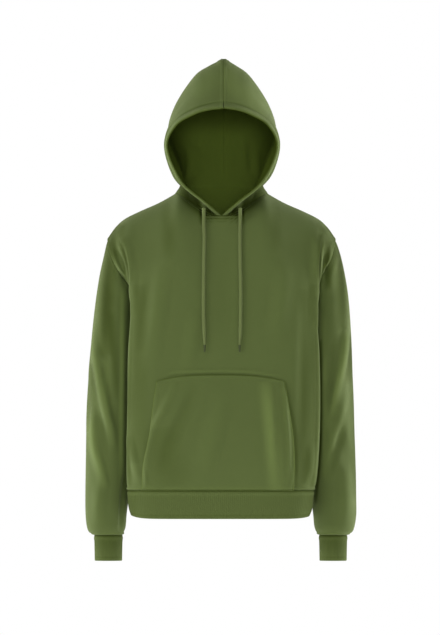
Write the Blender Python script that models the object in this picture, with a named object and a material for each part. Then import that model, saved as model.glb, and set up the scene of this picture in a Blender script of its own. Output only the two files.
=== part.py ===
"""Pullover hoodie, filled out and hollow, held at the neck and shoulders.

Every cloth piece is a thin closed wall between an outer and an inner grid of points. Its front
faces -Y, +X is the wearer's left, and the origin is the middle of the neck base, where the
wearer's shoulders hold it. Sizes are metres.
"""

from collections import namedtuple
from math import cos, pi, sin

import bmesh
import bpy
import numpy as np

# ---------------------------------------------------------------- driving dimensions

CLOTH = 0.002            # thickness of the jersey
CASING = 0.0042          # thickness of the doubled front edge of the hood
RIB_WALL = 0.0026        # thickness of the ribbed bands at the ribs
RIB_HEIGHT = 0.0006
SEAM_GAP = 0.0003        # clear space between two sewn pieces
HALF_GAP = SEAM_GAP / 2

SIDE_PLANE = 0.012       # y of the side and shoulder seams
UNDERARM_Z = -0.232
HEM_SEAM_Z = -0.639
HEM_Z = -0.700
CUFF_SEAM_Z = -0.737
CUFF_Z = -0.7925

NECK_FRONT = (-0.088, -0.041)     # y, z of the neckline at the front
NECK_BACK = (0.080, 0.022)        # y, z of the neckline at the back

NECK_DIP = 3.0           # how late the front of the neckline falls, above 1 for late
NECK_FALL_FRONT = 0.1    # slope of the cloth's thickness at the front and back of the neckline
NECK_FALL_SIDE = 0.5     # how much steeper it is at the sides

STEPS = 3                # columns or rows on each span between two stations
FINE_STEPS = 24          # the same where a line is measured along its length
SEAM_STEPS = 60          # steps of the shoulder seam where columns are placed on it
UPPER_ROWS = 10          # rows of a body panel from underarm to shoulder
LOWER_ROWS = 9
NECK_STEPS = 6           # columns on a quarter of the neckline
HOLD_START = 0.45        # share of a half panel's columns that the armhole doesn't steer
SHOULDER_PULL = 1.15     # how strongly a panel's rows bend over to the shoulder seam

HEM_DRAWN_LEFT = 0.040   # share by which the bottom corners of the hem band draw in
HEM_DRAWN_RIGHT = 0.030
HEM_TAPER_X = 0.012      # share by which the whole band draws in
HEM_TAPER_Y = 0.020
HEM_CORNER_X = 0.2       # where the bottom edge has lifted by HEM_CORNER_LIFT
HEM_CORNER_LIFT = 0.008
HEM_CORNER_POWER = 12
HEM_FOLD_Z = -0.682      # where the band starts to draw in
HEM_PLAIN = 48           # columns on the plain inside of the hem band
RIB_STEPS_HEM = 192      # ribs round the hem band

CUFF_PLAIN = 18
RIB_STEPS_CUFF = 36

POCKET_TOP_Z = -0.391
POCKET_BULGE = 0.0135    # how far the pocket stands off the front at mid height
POCKET_FULLNESS = 0.8    # below 1 for a fuller curve from top to bottom
POCKET_CLEAR = 0.0009
POCKET_THICKNESS = 0.0022
POCKET_COLUMNS = 16
POCKET_ROWS = 9

CORD_WIDTH = 0.0078
CORD_CLEAR = 0.0016      # between a cord and the chest
CORD_FRONT_Y = -0.0985   # a cord hangs no further back than this
CORD_END_Z = -0.322
CORD_STEPS = 26
TIP_END_Z = -0.337
TIP_TOP_SHARE = 0.46     # radius of a tip at the cord and at its end, against the cord's width
TIP_END_SHARE = 0.28

HOOD_LEAN = 0.0012       # how far the whole hood sits toward the wearer's left
SEAM_LEAN = 0.0033       # how much further its centre seam does
LEAN_WIDTH = 0.035       # half-width over which the lean fades to each side of the seam
LEAN_START_Z = 0.024
LEAN_RUN = 0.03          # height over which the hood takes up its lean
FLARE_SHARE = 0.5        # share of the hood's side, from the rim, that the rim's flare reaches

# Body levels: half-widths of the front fold on each side, depth of front and fold, side seam, back.
Level = namedtuple("Level", "z fold_left fold_right front fold_y side back")
BODY = (
    Level(-0.6390, 0.2010, 0.2050, -0.128, -0.066, 0.166, 0.112),
    Level(-0.6150, 0.2070, 0.2065, -0.131, -0.068, 0.167, 0.114),
    Level(-0.5500, 0.2125, 0.2065, -0.136, -0.070, 0.167, 0.117),
    Level(-0.4500, 0.2155, 0.2050, -0.138, -0.070, 0.166, 0.117),
    Level(-0.3400, 0.2130, 0.2035, -0.137, -0.070, 0.165, 0.116),
    Level(-0.2800, 0.2090, 0.1995, -0.135, -0.070, 0.165, 0.117),
    Level(-0.2320, 0.2080, 0.1970, -0.131, -0.070, 0.168, 0.119),
)

# Shoulder seam on one side, from the neckline over the rounded shoulder to its dropped tip.
Seam = namedtuple("Seam", "x z")
SHOULDER = (
    Seam(0.1010, 0.0070),
    Seam(0.1370, -0.0130),
    Seam(0.1765, -0.0305),
    Seam(0.2100, -0.0472),
    Seam(0.2290, -0.0635),
    Seam(0.2415, -0.0800),
    Seam(0.2490, -0.0940),
)
SHOULDER_POINT = SHOULDER[0]
SHOULDER_TIP = SHOULDER[-1]

# Armhole stations on one side, from the shoulder tip over the front to the underarm, then back.
Station = namedtuple("Station", "x y z")
ARMHOLE_FRONT = (
    Station(0.168, 0.012, -0.232),
    Station(0.199, -0.036, -0.196),
    Station(0.232, -0.050, -0.150),
    Station(0.2455, -0.026, -0.112),
    Station(0.249, 0.012, -0.094),
)
ARMHOLE_BACK = (
    Station(0.168, 0.012, -0.232),
    Station(0.192, 0.066, -0.203),
    Station(0.226, 0.084, -0.152),
    Station(0.2450, 0.054, -0.110),
    Station(0.249, 0.012, -0.094),
)

# Sleeve rings under the armhole: outer and inner edge on each side, middle and half of the depth.
Ring = namedtuple(
    "Ring", "outer_left outer_right outer_z inner_left inner_right inner_z mid_y half_depth")
SLEEVE = (
    Ring(0.2490, 0.2490, -0.094, 0.1680, 0.1680, -0.232, 0.017, 0.067),
    Ring(0.2600, 0.2565, -0.128, 0.1735, 0.1735, -0.250, 0.021, 0.071),
    Ring(0.2690, 0.2655, -0.168, 0.1780, 0.1780, -0.272, 0.025, 0.074),
    Ring(0.2765, 0.2730, -0.215, 0.1810, 0.1810, -0.298, 0.024, 0.076),
    Ring(0.2810, 0.2795, -0.268, 0.1830, 0.1830, -0.328, 0.022, 0.076),
    Ring(0.2840, 0.2850, -0.325, 0.1840, 0.1840, -0.362, 0.020, 0.074),
    Ring(0.2860, 0.2905, -0.385, 0.1845, 0.1845, -0.402, 0.018, 0.071),
    Ring(0.2885, 0.2940, -0.445, 0.1850, 0.1850, -0.452, 0.015, 0.068),
    Ring(0.2900, 0.2950, -0.505, 0.1860, 0.1865, -0.508, 0.011, 0.064),
    Ring(0.2918, 0.2957, -0.560, 0.1880, 0.1900, -0.560, 0.007, 0.059),
    Ring(0.2932, 0.2965, -0.610, 0.1910, 0.1960, -0.610, 0.003, 0.054),
    Ring(0.2938, 0.2970, -0.655, 0.1950, 0.2020, -0.655, 0.000, 0.050),
    Ring(0.2940, 0.2965, -0.690, 0.1995, 0.2065, -0.690, -0.002, 0.047),
    Ring(0.2905, 0.2940, -0.716, 0.2020, 0.2085, -0.716, -0.004, 0.044),
    Ring(0.2850, 0.2890, -0.730, 0.2065, 0.2125, -0.730, -0.004, 0.038),
    Ring(0.2740, 0.2775, -0.737, 0.2125, 0.2155, -0.737, -0.004, 0.031),
)

# Soft folds of the sleeves: heights of their ends, angle round the sleeve from the outer edge
# over the front, height of the ridge (below zero for a trough) and half-width of the fold.
Fold = namedtuple("Fold", "side start_z end_z start_angle end_angle height half_width")
SLEEVE_FOLDS = (
    Fold(-1, -0.320, -0.540, 0.55, 1.75, 0.0045, 0.030),
    Fold(-1, -0.380, -0.600, 0.05, 0.85, -0.0045, 0.030),
    Fold(1, -0.270, -0.470, 0.50, 1.20, 0.0045, 0.030),
    Fold(1, -0.440, -0.600, 1.60, 0.80, -0.0050, 0.032),
    Fold(-1, -0.300, -0.520, 4.10, 5.20, -0.0045, 0.032),
    Fold(1, -0.330, -0.560, 5.20, 4.30, -0.0045, 0.032),
)

# Hood levels from the neckline up to the centre seam: the face edge, the side and the back.
HoodLevel = namedtuple(
    "HoodLevel", "rim_x rim_y rim_z side_x side_y side_z back_y back_z flare")
HOOD = (
    HoodLevel(0.0000, -0.0880, -0.0410, 0.1010, 0.012, 0.007, 0.080, 0.022, 0.0000),
    HoodLevel(0.0340, -0.1060, -0.0140, 0.0895, 0.011, 0.031, 0.088, 0.056, 0.0075),
    HoodLevel(0.0880, -0.1010, 0.0330, 0.0950, 0.012, 0.078, 0.106, 0.100, 0.0170),
    HoodLevel(0.1205, -0.0900, 0.1060, 0.1180, 0.014, 0.138, 0.123, 0.150, 0.0065),
    HoodLevel(0.1015, -0.1000, 0.1545, 0.1035, 0.012, 0.198, 0.126, 0.196, 0.0040),
    HoodLevel(0.0620, -0.1130, 0.1790, 0.0620, 0.008, 0.262, 0.117, 0.234, 0.0015),
    HoodLevel(0.0310, -0.1195, 0.1888, 0.0300, 0.005, 0.286, 0.110, 0.248, 0.0005),
    HoodLevel(0.0000, -0.1215, 0.1925, 0.0000, 0.003, 0.301, 0.103, 0.258, 0.0000),
)
HOOD_MIDDLE = np.array([0.0, 0.012, 0.12])
ARMHOLE_MIDDLE = np.array([0.2100, 0.0160, -0.1600])

# Ridge and trough beside it: column of the front panel, width in columns, height.
ShoulderFold = namedtuple("ShoulderFold", "column width height")
SHOULDER_FOLDS = (
    ShoulderFold(11.6, 1.3, 0.0050),
    ShoulderFold(14.6, 1.4, -0.0080),
)

# Cuff levels: height and size against the end of the sleeve.
CuffLevel = namedtuple("CuffLevel", "z scale")
CUFF = (
    CuffLevel(CUFF_Z, 0.965),
    CuffLevel(-0.760, 0.985),
    CuffLevel(CUFF_SEAM_Z - HALF_GAP, 1.0),
)

# Side edges of the pocket: half-width on the wearer's left and right.
PocketEdge = namedtuple("PocketEdge", "z left right")
POCKET = (
    PocketEdge(HEM_SEAM_Z, 0.1560, 0.1730),
    PocketEdge(-0.585, 0.1585, 0.1705),
    PocketEdge(-0.520, 0.1550, 0.1575),
    PocketEdge(-0.440, 0.1440, 0.1475),
    PocketEdge(POCKET_TOP_Z, 0.1375, 0.1405),
)

# Cords: distance from the middle, the two points under the hood's edge, then the sway down the
# chest on each side.
CORD_X = {1: 0.0405, -1: 0.0385}
CORD_TOP = ((-0.1030, -0.0250), (-0.1035, -0.0320))
CordPoint = namedtuple("CordPoint", "z sway_left sway_right")
CORD = (
    CordPoint(-0.0440, 0.0000, 0.0000),
    CordPoint(-0.0650, 0.0000, 0.0000),
    CordPoint(-0.0900, -0.0005, -0.0010),
    CordPoint(-0.1450, 0.0000, 0.0000),
    CordPoint(-0.2050, 0.0012, 0.0006),
    CordPoint(-0.2700, 0.0008, 0.0002),
    CordPoint(CORD_END_Z, -0.0012, -0.0020),
)

JERSEY_GREEN = (0.105, 0.135, 0.045, 1.0)
RIB_GREEN = (0.095, 0.122, 0.040, 1.0)
CORD_GREEN = (0.115, 0.145, 0.052, 1.0)
TIP_GREEN = (0.055, 0.070, 0.024, 1.0)
JERSEY_ROUGHNESS = 0.90
RIB_ROUGHNESS = 0.92
CORD_ROUGHNESS = 0.85
TIP_ROUGHNESS = 0.80


# ---------------------------------------------------------------- curves and grids

def unit(vector):
    """The vector at length one."""
    return vector / max(np.linalg.norm(vector), 1e-12)


def slopes(places, values):
    """Slope of a smooth curve at each of its stations."""
    steps = np.diff(values, axis=0) / np.diff(places)[:, None]
    inner = (steps[1:] + steps[:-1]) / 2
    return np.vstack([steps[:1], inner, steps[-1:]])


def smooth(places, values, wanted):
    """Smooth curve through stations, read at the wanted places."""
    places = np.asarray(places, float)
    values = np.asarray(values, float).reshape(len(places), -1)
    grade = slopes(places, values)
    wanted = np.atleast_1d(wanted).astype(float)
    span = np.clip(np.searchsorted(places, wanted) - 1, 0, len(places) - 2)
    width = (places[span + 1] - places[span])[:, None]
    t = (wanted[:, None] - places[span][:, None]) / width
    rise = values[span + 1] - values[span]
    start = grade[span] * width
    end = grade[span + 1] * width
    return values[span] + t * start + t**2 * (3 * rise - 2 * start - end) \
        + t**3 * (start + end - 2 * rise)


def through(stations, steps):
    """Smooth line through 3-D stations with the same number of steps on each span."""
    stations = np.asarray(stations, float)
    count = len(stations) - 1
    return smooth(np.arange(count + 1), stations, np.linspace(0, count, count * steps + 1))


def even(stations, count):
    """Smooth line through 3-D stations, read at count even steps of its length."""
    fine = through(stations, FINE_STEPS)
    length = np.concatenate([[0], np.cumsum(np.linalg.norm(np.diff(fine, axis=0), axis=1))])
    marks = np.linspace(0, length[-1], count + 1)
    return np.column_stack([np.interp(marks, length, fine[:, axis]) for axis in range(3)])


def level_value(name, z):
    """One column of the body table at height z."""
    return float(smooth([row.z for row in BODY], [getattr(row, name) for row in BODY], z)[0, 0])


def normals(grid, ring=False):
    """Unit normals of a grid of points, from its rows and columns."""
    along = np.gradient(grid, axis=0)
    if ring:
        across = np.roll(grid, -1, axis=1) - np.roll(grid, 1, axis=1)
    else:
        across = np.gradient(grid, axis=1)
    normal = np.cross(across, along)
    return normal / np.maximum(np.linalg.norm(normal, axis=2, keepdims=True), 1e-12)


# ---------------------------------------------------------------- materials and objects

def material(name, color, roughness):
    """A cloth material."""
    made = bpy.data.materials.get(name) or bpy.data.materials.new(name)
    made.use_nodes = True
    shader = made.node_tree.nodes["Principled BSDF"]
    shader.inputs["Base Color"].default_value = color
    shader.inputs["Roughness"].default_value = roughness
    shader.inputs["Metallic"].default_value = 0.0
    made.diffuse_color = color
    return made


def add_object(name, mesh, color, roughness, collection):
    """Put a mesh in the collection with its own material."""
    made = bpy.data.objects.new(name, mesh)
    collection.objects.link(made)
    mesh.materials.append(material(name + "_cloth", color, roughness))
    mesh.shade_smooth()
    mesh.set_sharp_from_angle(angle=pi / 3)
    return made


def wall_mesh(name, outer, inner, ring=False):
    """One closed wall between an outer and an inner grid of the same shape."""
    rows, columns = outer.shape[:2]
    count = rows * columns
    points = np.vstack([outer.reshape(-1, 3), inner.reshape(-1, 3)])
    faces = []
    last = columns if ring else columns - 1
    for row in range(rows - 1):
        for column in range(last):
            here = row * columns + column
            beside = row * columns + (column + 1) % columns
            faces.append((here, beside, beside + columns, here + columns))
            faces.append((here + count, here + columns + count,
                          beside + columns + count, beside + count))
    for column in range(last):
        beside = (column + 1) % columns
        top = (rows - 1) * columns
        faces.append((column, column + count, beside + count, beside))
        faces.append((top + column, top + beside, top + beside + count, top + column + count))
    if not ring:
        for row in range(rows - 1):
            here = row * columns
            end = here + columns - 1
            faces.append((here, here + columns, here + columns + count, here + count))
            faces.append((end, end + count, end + columns + count, end + columns))
    return closed_mesh(name, points, faces)


def closed_mesh(name, points, faces):
    """A mesh from points and faces, with its faces turned outwards."""
    mesh = bpy.data.meshes.new(name)
    mesh.from_pydata([tuple(point) for point in points], [], faces)
    work = bmesh.new()
    work.from_mesh(mesh)
    bmesh.ops.recalc_face_normals(work, faces=work.faces)
    work.to_mesh(mesh)
    work.free()
    return mesh


# ---------------------------------------------------------------- shared seams

def neckline():
    """Neckline from the front middle over the wearer's left to the back middle."""
    points = []
    for step in range(2 * NECK_STEPS + 1):
        angle = pi / 2 * step / NECK_STEPS
        across = SHOULDER_POINT[0] * sin(angle)
        if step <= NECK_STEPS:
            share = max(cos(angle), 0.0)
            y = SIDE_PLANE + (NECK_FRONT[0] - SIDE_PLANE) * share
            z = SHOULDER_POINT[1] + (NECK_FRONT[1] - SHOULDER_POINT[1]) * share**NECK_DIP
        else:
            share = -cos(angle)
            y = SIDE_PLANE + (NECK_BACK[0] - SIDE_PLANE) * share
            z = SHOULDER_POINT[1] + (NECK_BACK[1] - SHOULDER_POINT[1]) * share
        points.append((across, y, z))
    return np.array(points)


def neckline_inward():
    """Direction of the cloth's thickness at each point of the neckline."""
    directions = []
    for step in range(2 * NECK_STEPS + 1):
        angle = pi / 2 * step / NECK_STEPS
        fall = NECK_FALL_SIDE * sin(angle)**2 + NECK_FALL_FRONT
        directions.append(unit(np.array([-sin(angle), cos(angle), -fall])))
    return np.array(directions)


def neckline_up():
    """Direction from the body panels to the hood at each point of the neckline."""
    line = neckline()
    tangent = np.gradient(line, axis=0)
    tangent[0] = (1.0, 0.0, 0.0)
    tangent[-1] = (-1.0, 0.0, 0.0)
    tangent[NECK_STEPS] = (0.0, 1.0, 0.0)
    up = np.array([unit(np.cross(side, into)) for side, into in zip(neckline_inward(), tangent)])
    return np.where(up[:, 2:3] < 0, -up, up)


def armhole(branch):
    """One branch of the armhole from the underarm to the shoulder tip."""
    return even([tuple(station) for station in branch], UPPER_ROWS)


# Direction from the body to the sleeve, square to the line from the underarm to the shoulder tip.
ARMHOLE_OUT = unit(np.array([SHOULDER_TIP.z - UNDERARM_Z, 0.0,
                             ARMHOLE_FRONT[0].x - SHOULDER_TIP.x]))


def armhole_inward(line):
    """Direction of the cloth's thickness along an armhole branch, toward the armhole's middle."""
    directions = ARMHOLE_MIDDLE - line
    directions -= np.outer(directions @ ARMHOLE_OUT, ARMHOLE_OUT)
    directions[0][1] = 0.0
    directions[-1][1] = 0.0
    return np.array([unit(direction) for direction in directions])


# ---------------------------------------------------------------- body panels

def fold_width(side, z):
    """Half-width of the front fold, on the wearer's left (1) or right (-1)."""
    return level_value("fold_left" if side > 0 else "fold_right", z)


def front_section(side, z):
    """Half of the front's outline at height z, from the middle to the side seam."""
    fold = fold_width(side, z)
    front = level_value("front", z)
    fold_y = level_value("fold_y", z)
    stations = (
        (0.0, front),
        (0.48 * fold, 0.985 * front),
        (0.80 * fold, front + 0.014),
        (0.955 * fold, fold_y - 0.026),
        (fold, fold_y),
        (fold - 0.011, fold_y + 0.030),
        (level_value("side", z), SIDE_PLANE),
    )
    return through([(side * x, y, z) for x, y in stations], STEPS)


def back_section(side, z):
    """Half of the back's outline at height z, from the middle to the side seam."""
    seam = level_value("side", z)
    back = level_value("back", z)
    stations = (
        (0.0, back),
        (0.070, 0.985 * back),
        (0.130, 0.90 * back),
        (seam + 0.001, 0.68 * back),
        (seam + 0.009, 0.38 * back),
        (seam, SIDE_PLANE),
    )
    return through([(side * x, y, z) for x, y in stations], STEPS)


def shoulder_edge(side, panel, columns):
    """Upper edge of half a panel and its thickness direction: neckline, then shoulder seam."""
    line = neckline()
    into = neckline_inward()
    if panel.start == "back":
        line = line[::-1]
        into = into[::-1]
    fine = even([(seam.x, SIDE_PLANE, seam.z) for seam in SHOULDER], SEAM_STEPS)
    shares = np.interp(range(1, columns + 1), range(0, columns + 1, STEPS), panel.shares)
    marks = shares * SEAM_STEPS
    steps = range(SEAM_STEPS + 1)
    seam = np.column_stack([np.interp(marks, steps, fine[:, axis]) for axis in range(3)])
    slope = np.gradient(fine, axis=0)
    fall = np.column_stack([np.interp(marks, steps, slope[:, axis]) for axis in (2, 1, 0)])
    fall *= (1, 0, -1)
    fall /= np.linalg.norm(fall, axis=1, keepdims=True)
    edge = np.vstack([line[:NECK_STEPS + 1], seam]) * (side, 1, 1)
    inward = np.vstack([into[:NECK_STEPS + 1], fall]) * (side, 1, 1)
    return edge, inward


# A body panel: its section at a height, its side of the armhole, where its neckline starts, the
# shares of the shoulder seam at its stations, the slope of its middle at the neckline, and +1
# where it faces the front.
Panel = namedtuple("Panel", "section branch start shares lean_middle facing")
FRONT = Panel(front_section, ARMHOLE_FRONT, "front", (0.0, 0.40, 0.70, 0.86, 1.0),
              (0.0, 0.34, 0.94), 1)
BACK = Panel(back_section, ARMHOLE_BACK, "back", (0.0, 0.40, 0.76, 1.0), (0.0, -0.36, 0.93), -1)


def half_panel(panel, side):
    """Outer points of half a body panel, from the middle to the side, hem to shoulder."""
    lower = np.array([panel.section(side, z)
                      for z in np.linspace(HEM_SEAM_Z + HALF_GAP, UNDERARM_Z, LOWER_ROWS + 1)])
    base = lower[-1]
    last = len(base) - 1
    edge, _ = shoulder_edge(side, panel, last - NECK_STEPS)
    branch = armhole(panel.branch) * (side, 1, 1)
    climb = lower[-1] - lower[-2]
    climb /= np.maximum(np.abs(climb[:, 2:3]), 1e-9)
    reach = np.linalg.norm(edge - base, axis=1, keepdims=True)
    turn = np.clip(np.arange(last + 1) / NECK_STEPS, 0, 1)[:, None]
    turn = turn**2 * (3 - 2 * turn)
    over = np.array([0.0, panel.facing, 0.12])
    lean = np.array([unit(row) for row in (1 - turn) * np.array(panel.lean_middle) + turn * over])
    start = climb * reach
    end = lean * reach * SHOULDER_PULL
    rise = edge - base
    rows = []
    hold = np.clip((np.arange(last + 1) / last - HOLD_START) / (1 - HOLD_START), 0, 1)[:, None]
    hold = hold**2 * (3 - 2 * hold)
    for row in range(1, UPPER_ROWS + 1):
        t = row / UPPER_ROWS
        points = base + t * start + t**2 * (3 * rise - 2 * start - end) \
            + t**3 * (start + end - 2 * rise)
        rows.append(points + hold * (branch[row] - points[-1]))
    rows = np.array(rows)
    if panel.start == "front":
        rows[:, :, 1] -= shoulder_folds(len(rows), last + 1)
    return np.vstack([lower, rows])


def shoulder_folds(rows, columns):
    """Height of the folds that run from the shoulder down into the front's side fold."""
    along = np.sin(pi * (np.arange(rows) + 1) / rows)[:, None]
    across = np.arange(columns)[None, :]
    fold = sum(row.height * np.exp(-((across - row.column) / row.width)**2)
               for row in SHOULDER_FOLDS)
    edge = np.clip((columns - 1 - across) / 2, 0, 1)
    return along * fold * edge


def panel_wall(panel):
    """Outer and inner grids of a whole body panel, from the wearer's right to the left."""
    halves = {side: half_panel(panel, side) for side in (1, -1)}
    outer = np.concatenate([halves[-1][:, :0:-1], halves[1]], axis=1)
    inward = -normals(outer) * panel.facing
    middle = halves[1].shape[1] - 1
    for side, column in ((1, -1), (-1, 0)):
        inward[:LOWER_ROWS + 1, column] = (-side, 0.0, 0.0)
        into = armhole_inward(armhole(panel.branch)) * (side, 1, 1)
        inward[LOWER_ROWS:, column] = into
        _, top = shoulder_edge(side, panel, middle - NECK_STEPS)
        if side > 0:
            inward[-1, middle:-1] = top[:-1]
        else:
            inward[-1, 1:middle + 1] = top[:-1][::-1]
    inward[0, :, 2] = 0.0
    inward /= np.linalg.norm(inward, axis=2, keepdims=True)
    inner = outer + CLOTH * inward
    return seam_gaps(panel, outer, inner, middle)


def seam_gaps(panel, outer, inner, middle):
    """Draw the panel's edges back from the seams by half of the seam gap."""
    shift = np.zeros_like(outer)
    out = ARMHOLE_OUT * HALF_GAP
    for side, column in ((1, -1), (-1, 0)):
        shift[LOWER_ROWS + 1:, column] -= out * (side, 1, 1)
        shift[:, column, 1] = -HALF_GAP * panel.facing
    up = neckline_up() * HALF_GAP
    neck = up[:NECK_STEPS + 1] if panel.start == "front" else up[::-1][:NECK_STEPS + 1]
    for step in range(NECK_STEPS + 1):
        shift[-1, middle + step] -= neck[step]
        shift[-1, middle - step] -= neck[step] * (-1, 1, 1)
    shift[-1, :middle - NECK_STEPS + 1, 1] = -HALF_GAP * panel.facing
    shift[-1, middle + NECK_STEPS:, 1] = -HALF_GAP * panel.facing
    return outer + shift, inner + shift


def chest_depth(grid, x, z):
    """Depth of the front panel's outer face at any x and z, read from its points."""
    middle = grid.shape[1] // 2
    face = grid[:, middle - 4 * STEPS:middle + 4 * STEPS + 1]
    depth = [(np.interp(x, row[:, 0], row[:, 2]), np.interp(x, row[:, 0], row[:, 1]))
             for row in face]
    depth = np.array(sorted(depth))
    return float(np.interp(z, depth[:, 0], depth[:, 1]))


# ---------------------------------------------------------------- sleeves and cuffs

def ring_edges(ring, side):
    """Outer and inner x of a sleeve ring on one side."""
    if side > 0:
        return ring.outer_left, ring.inner_left
    return ring.outer_right, ring.inner_right


def sleeve_ring(ring, side):
    """One ring of a sleeve as an even oval between its outer and inner edge."""
    outer_x, inner_x = ring_edges(ring, side)
    points = []
    for step in range(2 * UPPER_ROWS):
        angle = pi * step / UPPER_ROWS
        share = (1 - cos(angle)) / 2
        x = outer_x + (inner_x - outer_x) * share
        z = ring.outer_z + (ring.inner_z - ring.outer_z) * share
        y = ring.mid_y - ring.half_depth * sin(angle)
        lift = fold_lift(side, angle, z, ring.half_depth)
        points.append((side * (x + lift * cos(angle)), y - lift * sin(angle), z))
    return np.array(points)


def fold_lift(side, angle, z, radius):
    """How far the sleeve's folds move a point out, at an angle round the sleeve and a height."""
    lift = 0.0
    for fold in SLEEVE_FOLDS:
        share = (z - fold.start_z) / (fold.end_z - fold.start_z)
        if fold.side != side or not 0 < share < 1:
            continue
        middle = fold.start_angle + (fold.end_angle - fold.start_angle) * share
        away = abs((angle - middle + pi) % (2 * pi) - pi) * radius / fold.half_width
        if away < 1:
            lift += fold.height * sin(pi * share) * (1 + cos(pi * away)) / 2
    return lift


def sleeve_grids(side):
    """Outer and inner grids of a sleeve from the armhole to the cuff seam."""
    front = armhole(ARMHOLE_FRONT)[::-1]
    back = armhole(ARMHOLE_BACK)
    hole = np.vstack([front, back[1:-1]])
    into_hole = np.vstack([armhole_inward(front[::-1])[::-1], armhole_inward(back)[1:-1]])
    hole = hole * (side, 1, 1)
    rings = [sleeve_ring(ring, side) for ring in SLEEVE]
    stray = hole - rings[0]
    for index, keep in enumerate((1.0, 0.62, 0.28, 0.08)):
        rings[index] = rings[index] + stray * keep
    outer = np.array(rings)
    inward = normals(outer, ring=True) * side
    centre = outer.mean(axis=1, keepdims=True)
    toward = centre - outer
    inward *= np.where((inward * toward).sum(axis=2, keepdims=True) < 0, -1, 1)
    inward[0] = into_hole * (side, 1, 1)
    inward[-1] = toward[-1]
    inward[-1, :, 2] = 0.0
    inward /= np.linalg.norm(inward, axis=2, keepdims=True)
    inner = outer + CLOTH * inward
    shift = np.zeros_like(outer)
    shift[0] = ARMHOLE_OUT * (side, 1, 1) * HALF_GAP
    shift[-1, :, 2] = HALF_GAP
    return outer + shift, inner + shift


def ribbed_tube(name, ring_at, heights, ribs, plain):
    """A ribbed tube: ribs raised in the outer points over a plain inside with fewer points."""
    outer_count = 2 * ribs
    each = outer_count // plain
    outer = np.array([ring_at(height, outer_count) for height in heights])
    middle = outer.mean(axis=1, keepdims=True)
    inward = middle - outer
    inward[:, :, 2] = 0.0
    inward /= np.linalg.norm(inward, axis=2, keepdims=True)
    low = (np.arange(outer_count) % 2 == 1)[None, :, None]
    outer = outer + inward * RIB_HEIGHT * low
    inner = outer[:, ::each] + inward[:, ::each] * RIB_WALL
    rows = len(heights)
    start = rows * outer_count
    points = np.vstack([outer.reshape(-1, 3), inner.reshape(-1, 3)])
    faces = []
    for row in range(rows - 1):
        for here in range(outer_count):
            beside = (here + 1) % outer_count
            base = row * outer_count
            faces.append((base + here, base + beside,
                          base + beside + outer_count, base + here + outer_count))
        for here in range(plain):
            beside = (here + 1) % plain
            base = start + row * plain
            faces.append((base + here, base + here + plain, base + beside + plain, base + beside))
    for row, inside_out in ((0, True), (rows - 1, False)):
        for here in range(plain):
            corner = start + row * plain + here
            beside = start + row * plain + (here + 1) % plain
            edge = [row * outer_count + (here * each + step) % outer_count
                    for step in range(each + 1)]
            for first, second in zip(edge[:-1], edge[1:]):
                faces.append((first, corner, second) if inside_out else (first, second, corner))
            rim = (edge[-1], corner, beside)
            faces.append(rim if inside_out else rim[::-1])
    return closed_mesh(name, points, faces)


def cuff_mesh(name, side):
    """The ribbed cuff under a sleeve."""
    last = SLEEVE[-1]
    outer_x, inner_x = ring_edges(last, side)
    middle = (outer_x + inner_x) / 2
    half = (outer_x - inner_x) / 2

    def ring_at(height, count):
        scale = np.interp(height, [level.z for level in CUFF], [level.scale for level in CUFF])
        angles = 2 * pi * np.arange(count) / count
        return np.column_stack([side * (middle + half * scale * np.cos(angles)),
                                last.mid_y - last.half_depth * scale * np.sin(angles),
                                np.full(count, height)])

    heights = [level.z for level in reversed(CUFF)]
    return ribbed_tube(name, ring_at, heights, RIB_STEPS_CUFF, CUFF_PLAIN)


# ---------------------------------------------------------------- hem band

def hem_ring(height, count):
    """The hem band's outline at a height, its bottom corners drawn in and lifted."""
    loop = np.vstack([
        front_section(-1, HEM_SEAM_Z)[::-1],
        front_section(1, HEM_SEAM_Z)[1:],
        back_section(1, HEM_SEAM_Z)[-2::-1],
        back_section(-1, HEM_SEAM_Z)[1:],
    ])
    length = np.concatenate([[0], np.cumsum(np.linalg.norm(np.diff(loop, axis=0), axis=1))])
    marks = np.linspace(0, length[-1], count + 1)[:-1]
    points = np.column_stack([np.interp(marks, length, loop[:, axis]) for axis in range(3)])
    depth = (HEM_SEAM_Z - height) / (HEM_SEAM_Z - HEM_Z)
    drawn = np.where(points[:, 0] > 0, HEM_DRAWN_LEFT, HEM_DRAWN_RIGHT)
    points[:, 0] *= 1 - HEM_TAPER_X * depth - drawn * depth**4
    points[:, 1] *= 1 - HEM_TAPER_Y * depth
    corner = (np.abs(points[:, 0]) / HEM_CORNER_X)**HEM_CORNER_POWER
    points[:, 2] = height + HEM_CORNER_LIFT * corner * depth**2
    return points


# ---------------------------------------------------------------- hood

def hood_track(level, column):
    """One point of a hood level, from the face edge over the side to the back."""
    if column <= NECK_STEPS:
        u = column / NECK_STEPS
        rise = u + u**2 - u**3
        x = level.rim_x + (level.side_x - level.rim_x) * sin(u * pi / 2)
        x += level.flare * sin(pi * min(1.0, u / FLARE_SHARE))
        y = level.rim_y + (level.side_y - level.rim_y) * u
        z = level.rim_z + (level.side_z - level.rim_z) * rise
        return x, y, z
    angle = pi / 2 * (column - NECK_STEPS) / NECK_STEPS
    x = level.side_x * cos(angle)
    y = level.side_y + (level.back_y - level.side_y) * sin(angle)
    z = level.side_z + (level.back_z - level.side_z) * (1 - cos(angle))
    return x, y, z


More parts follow.
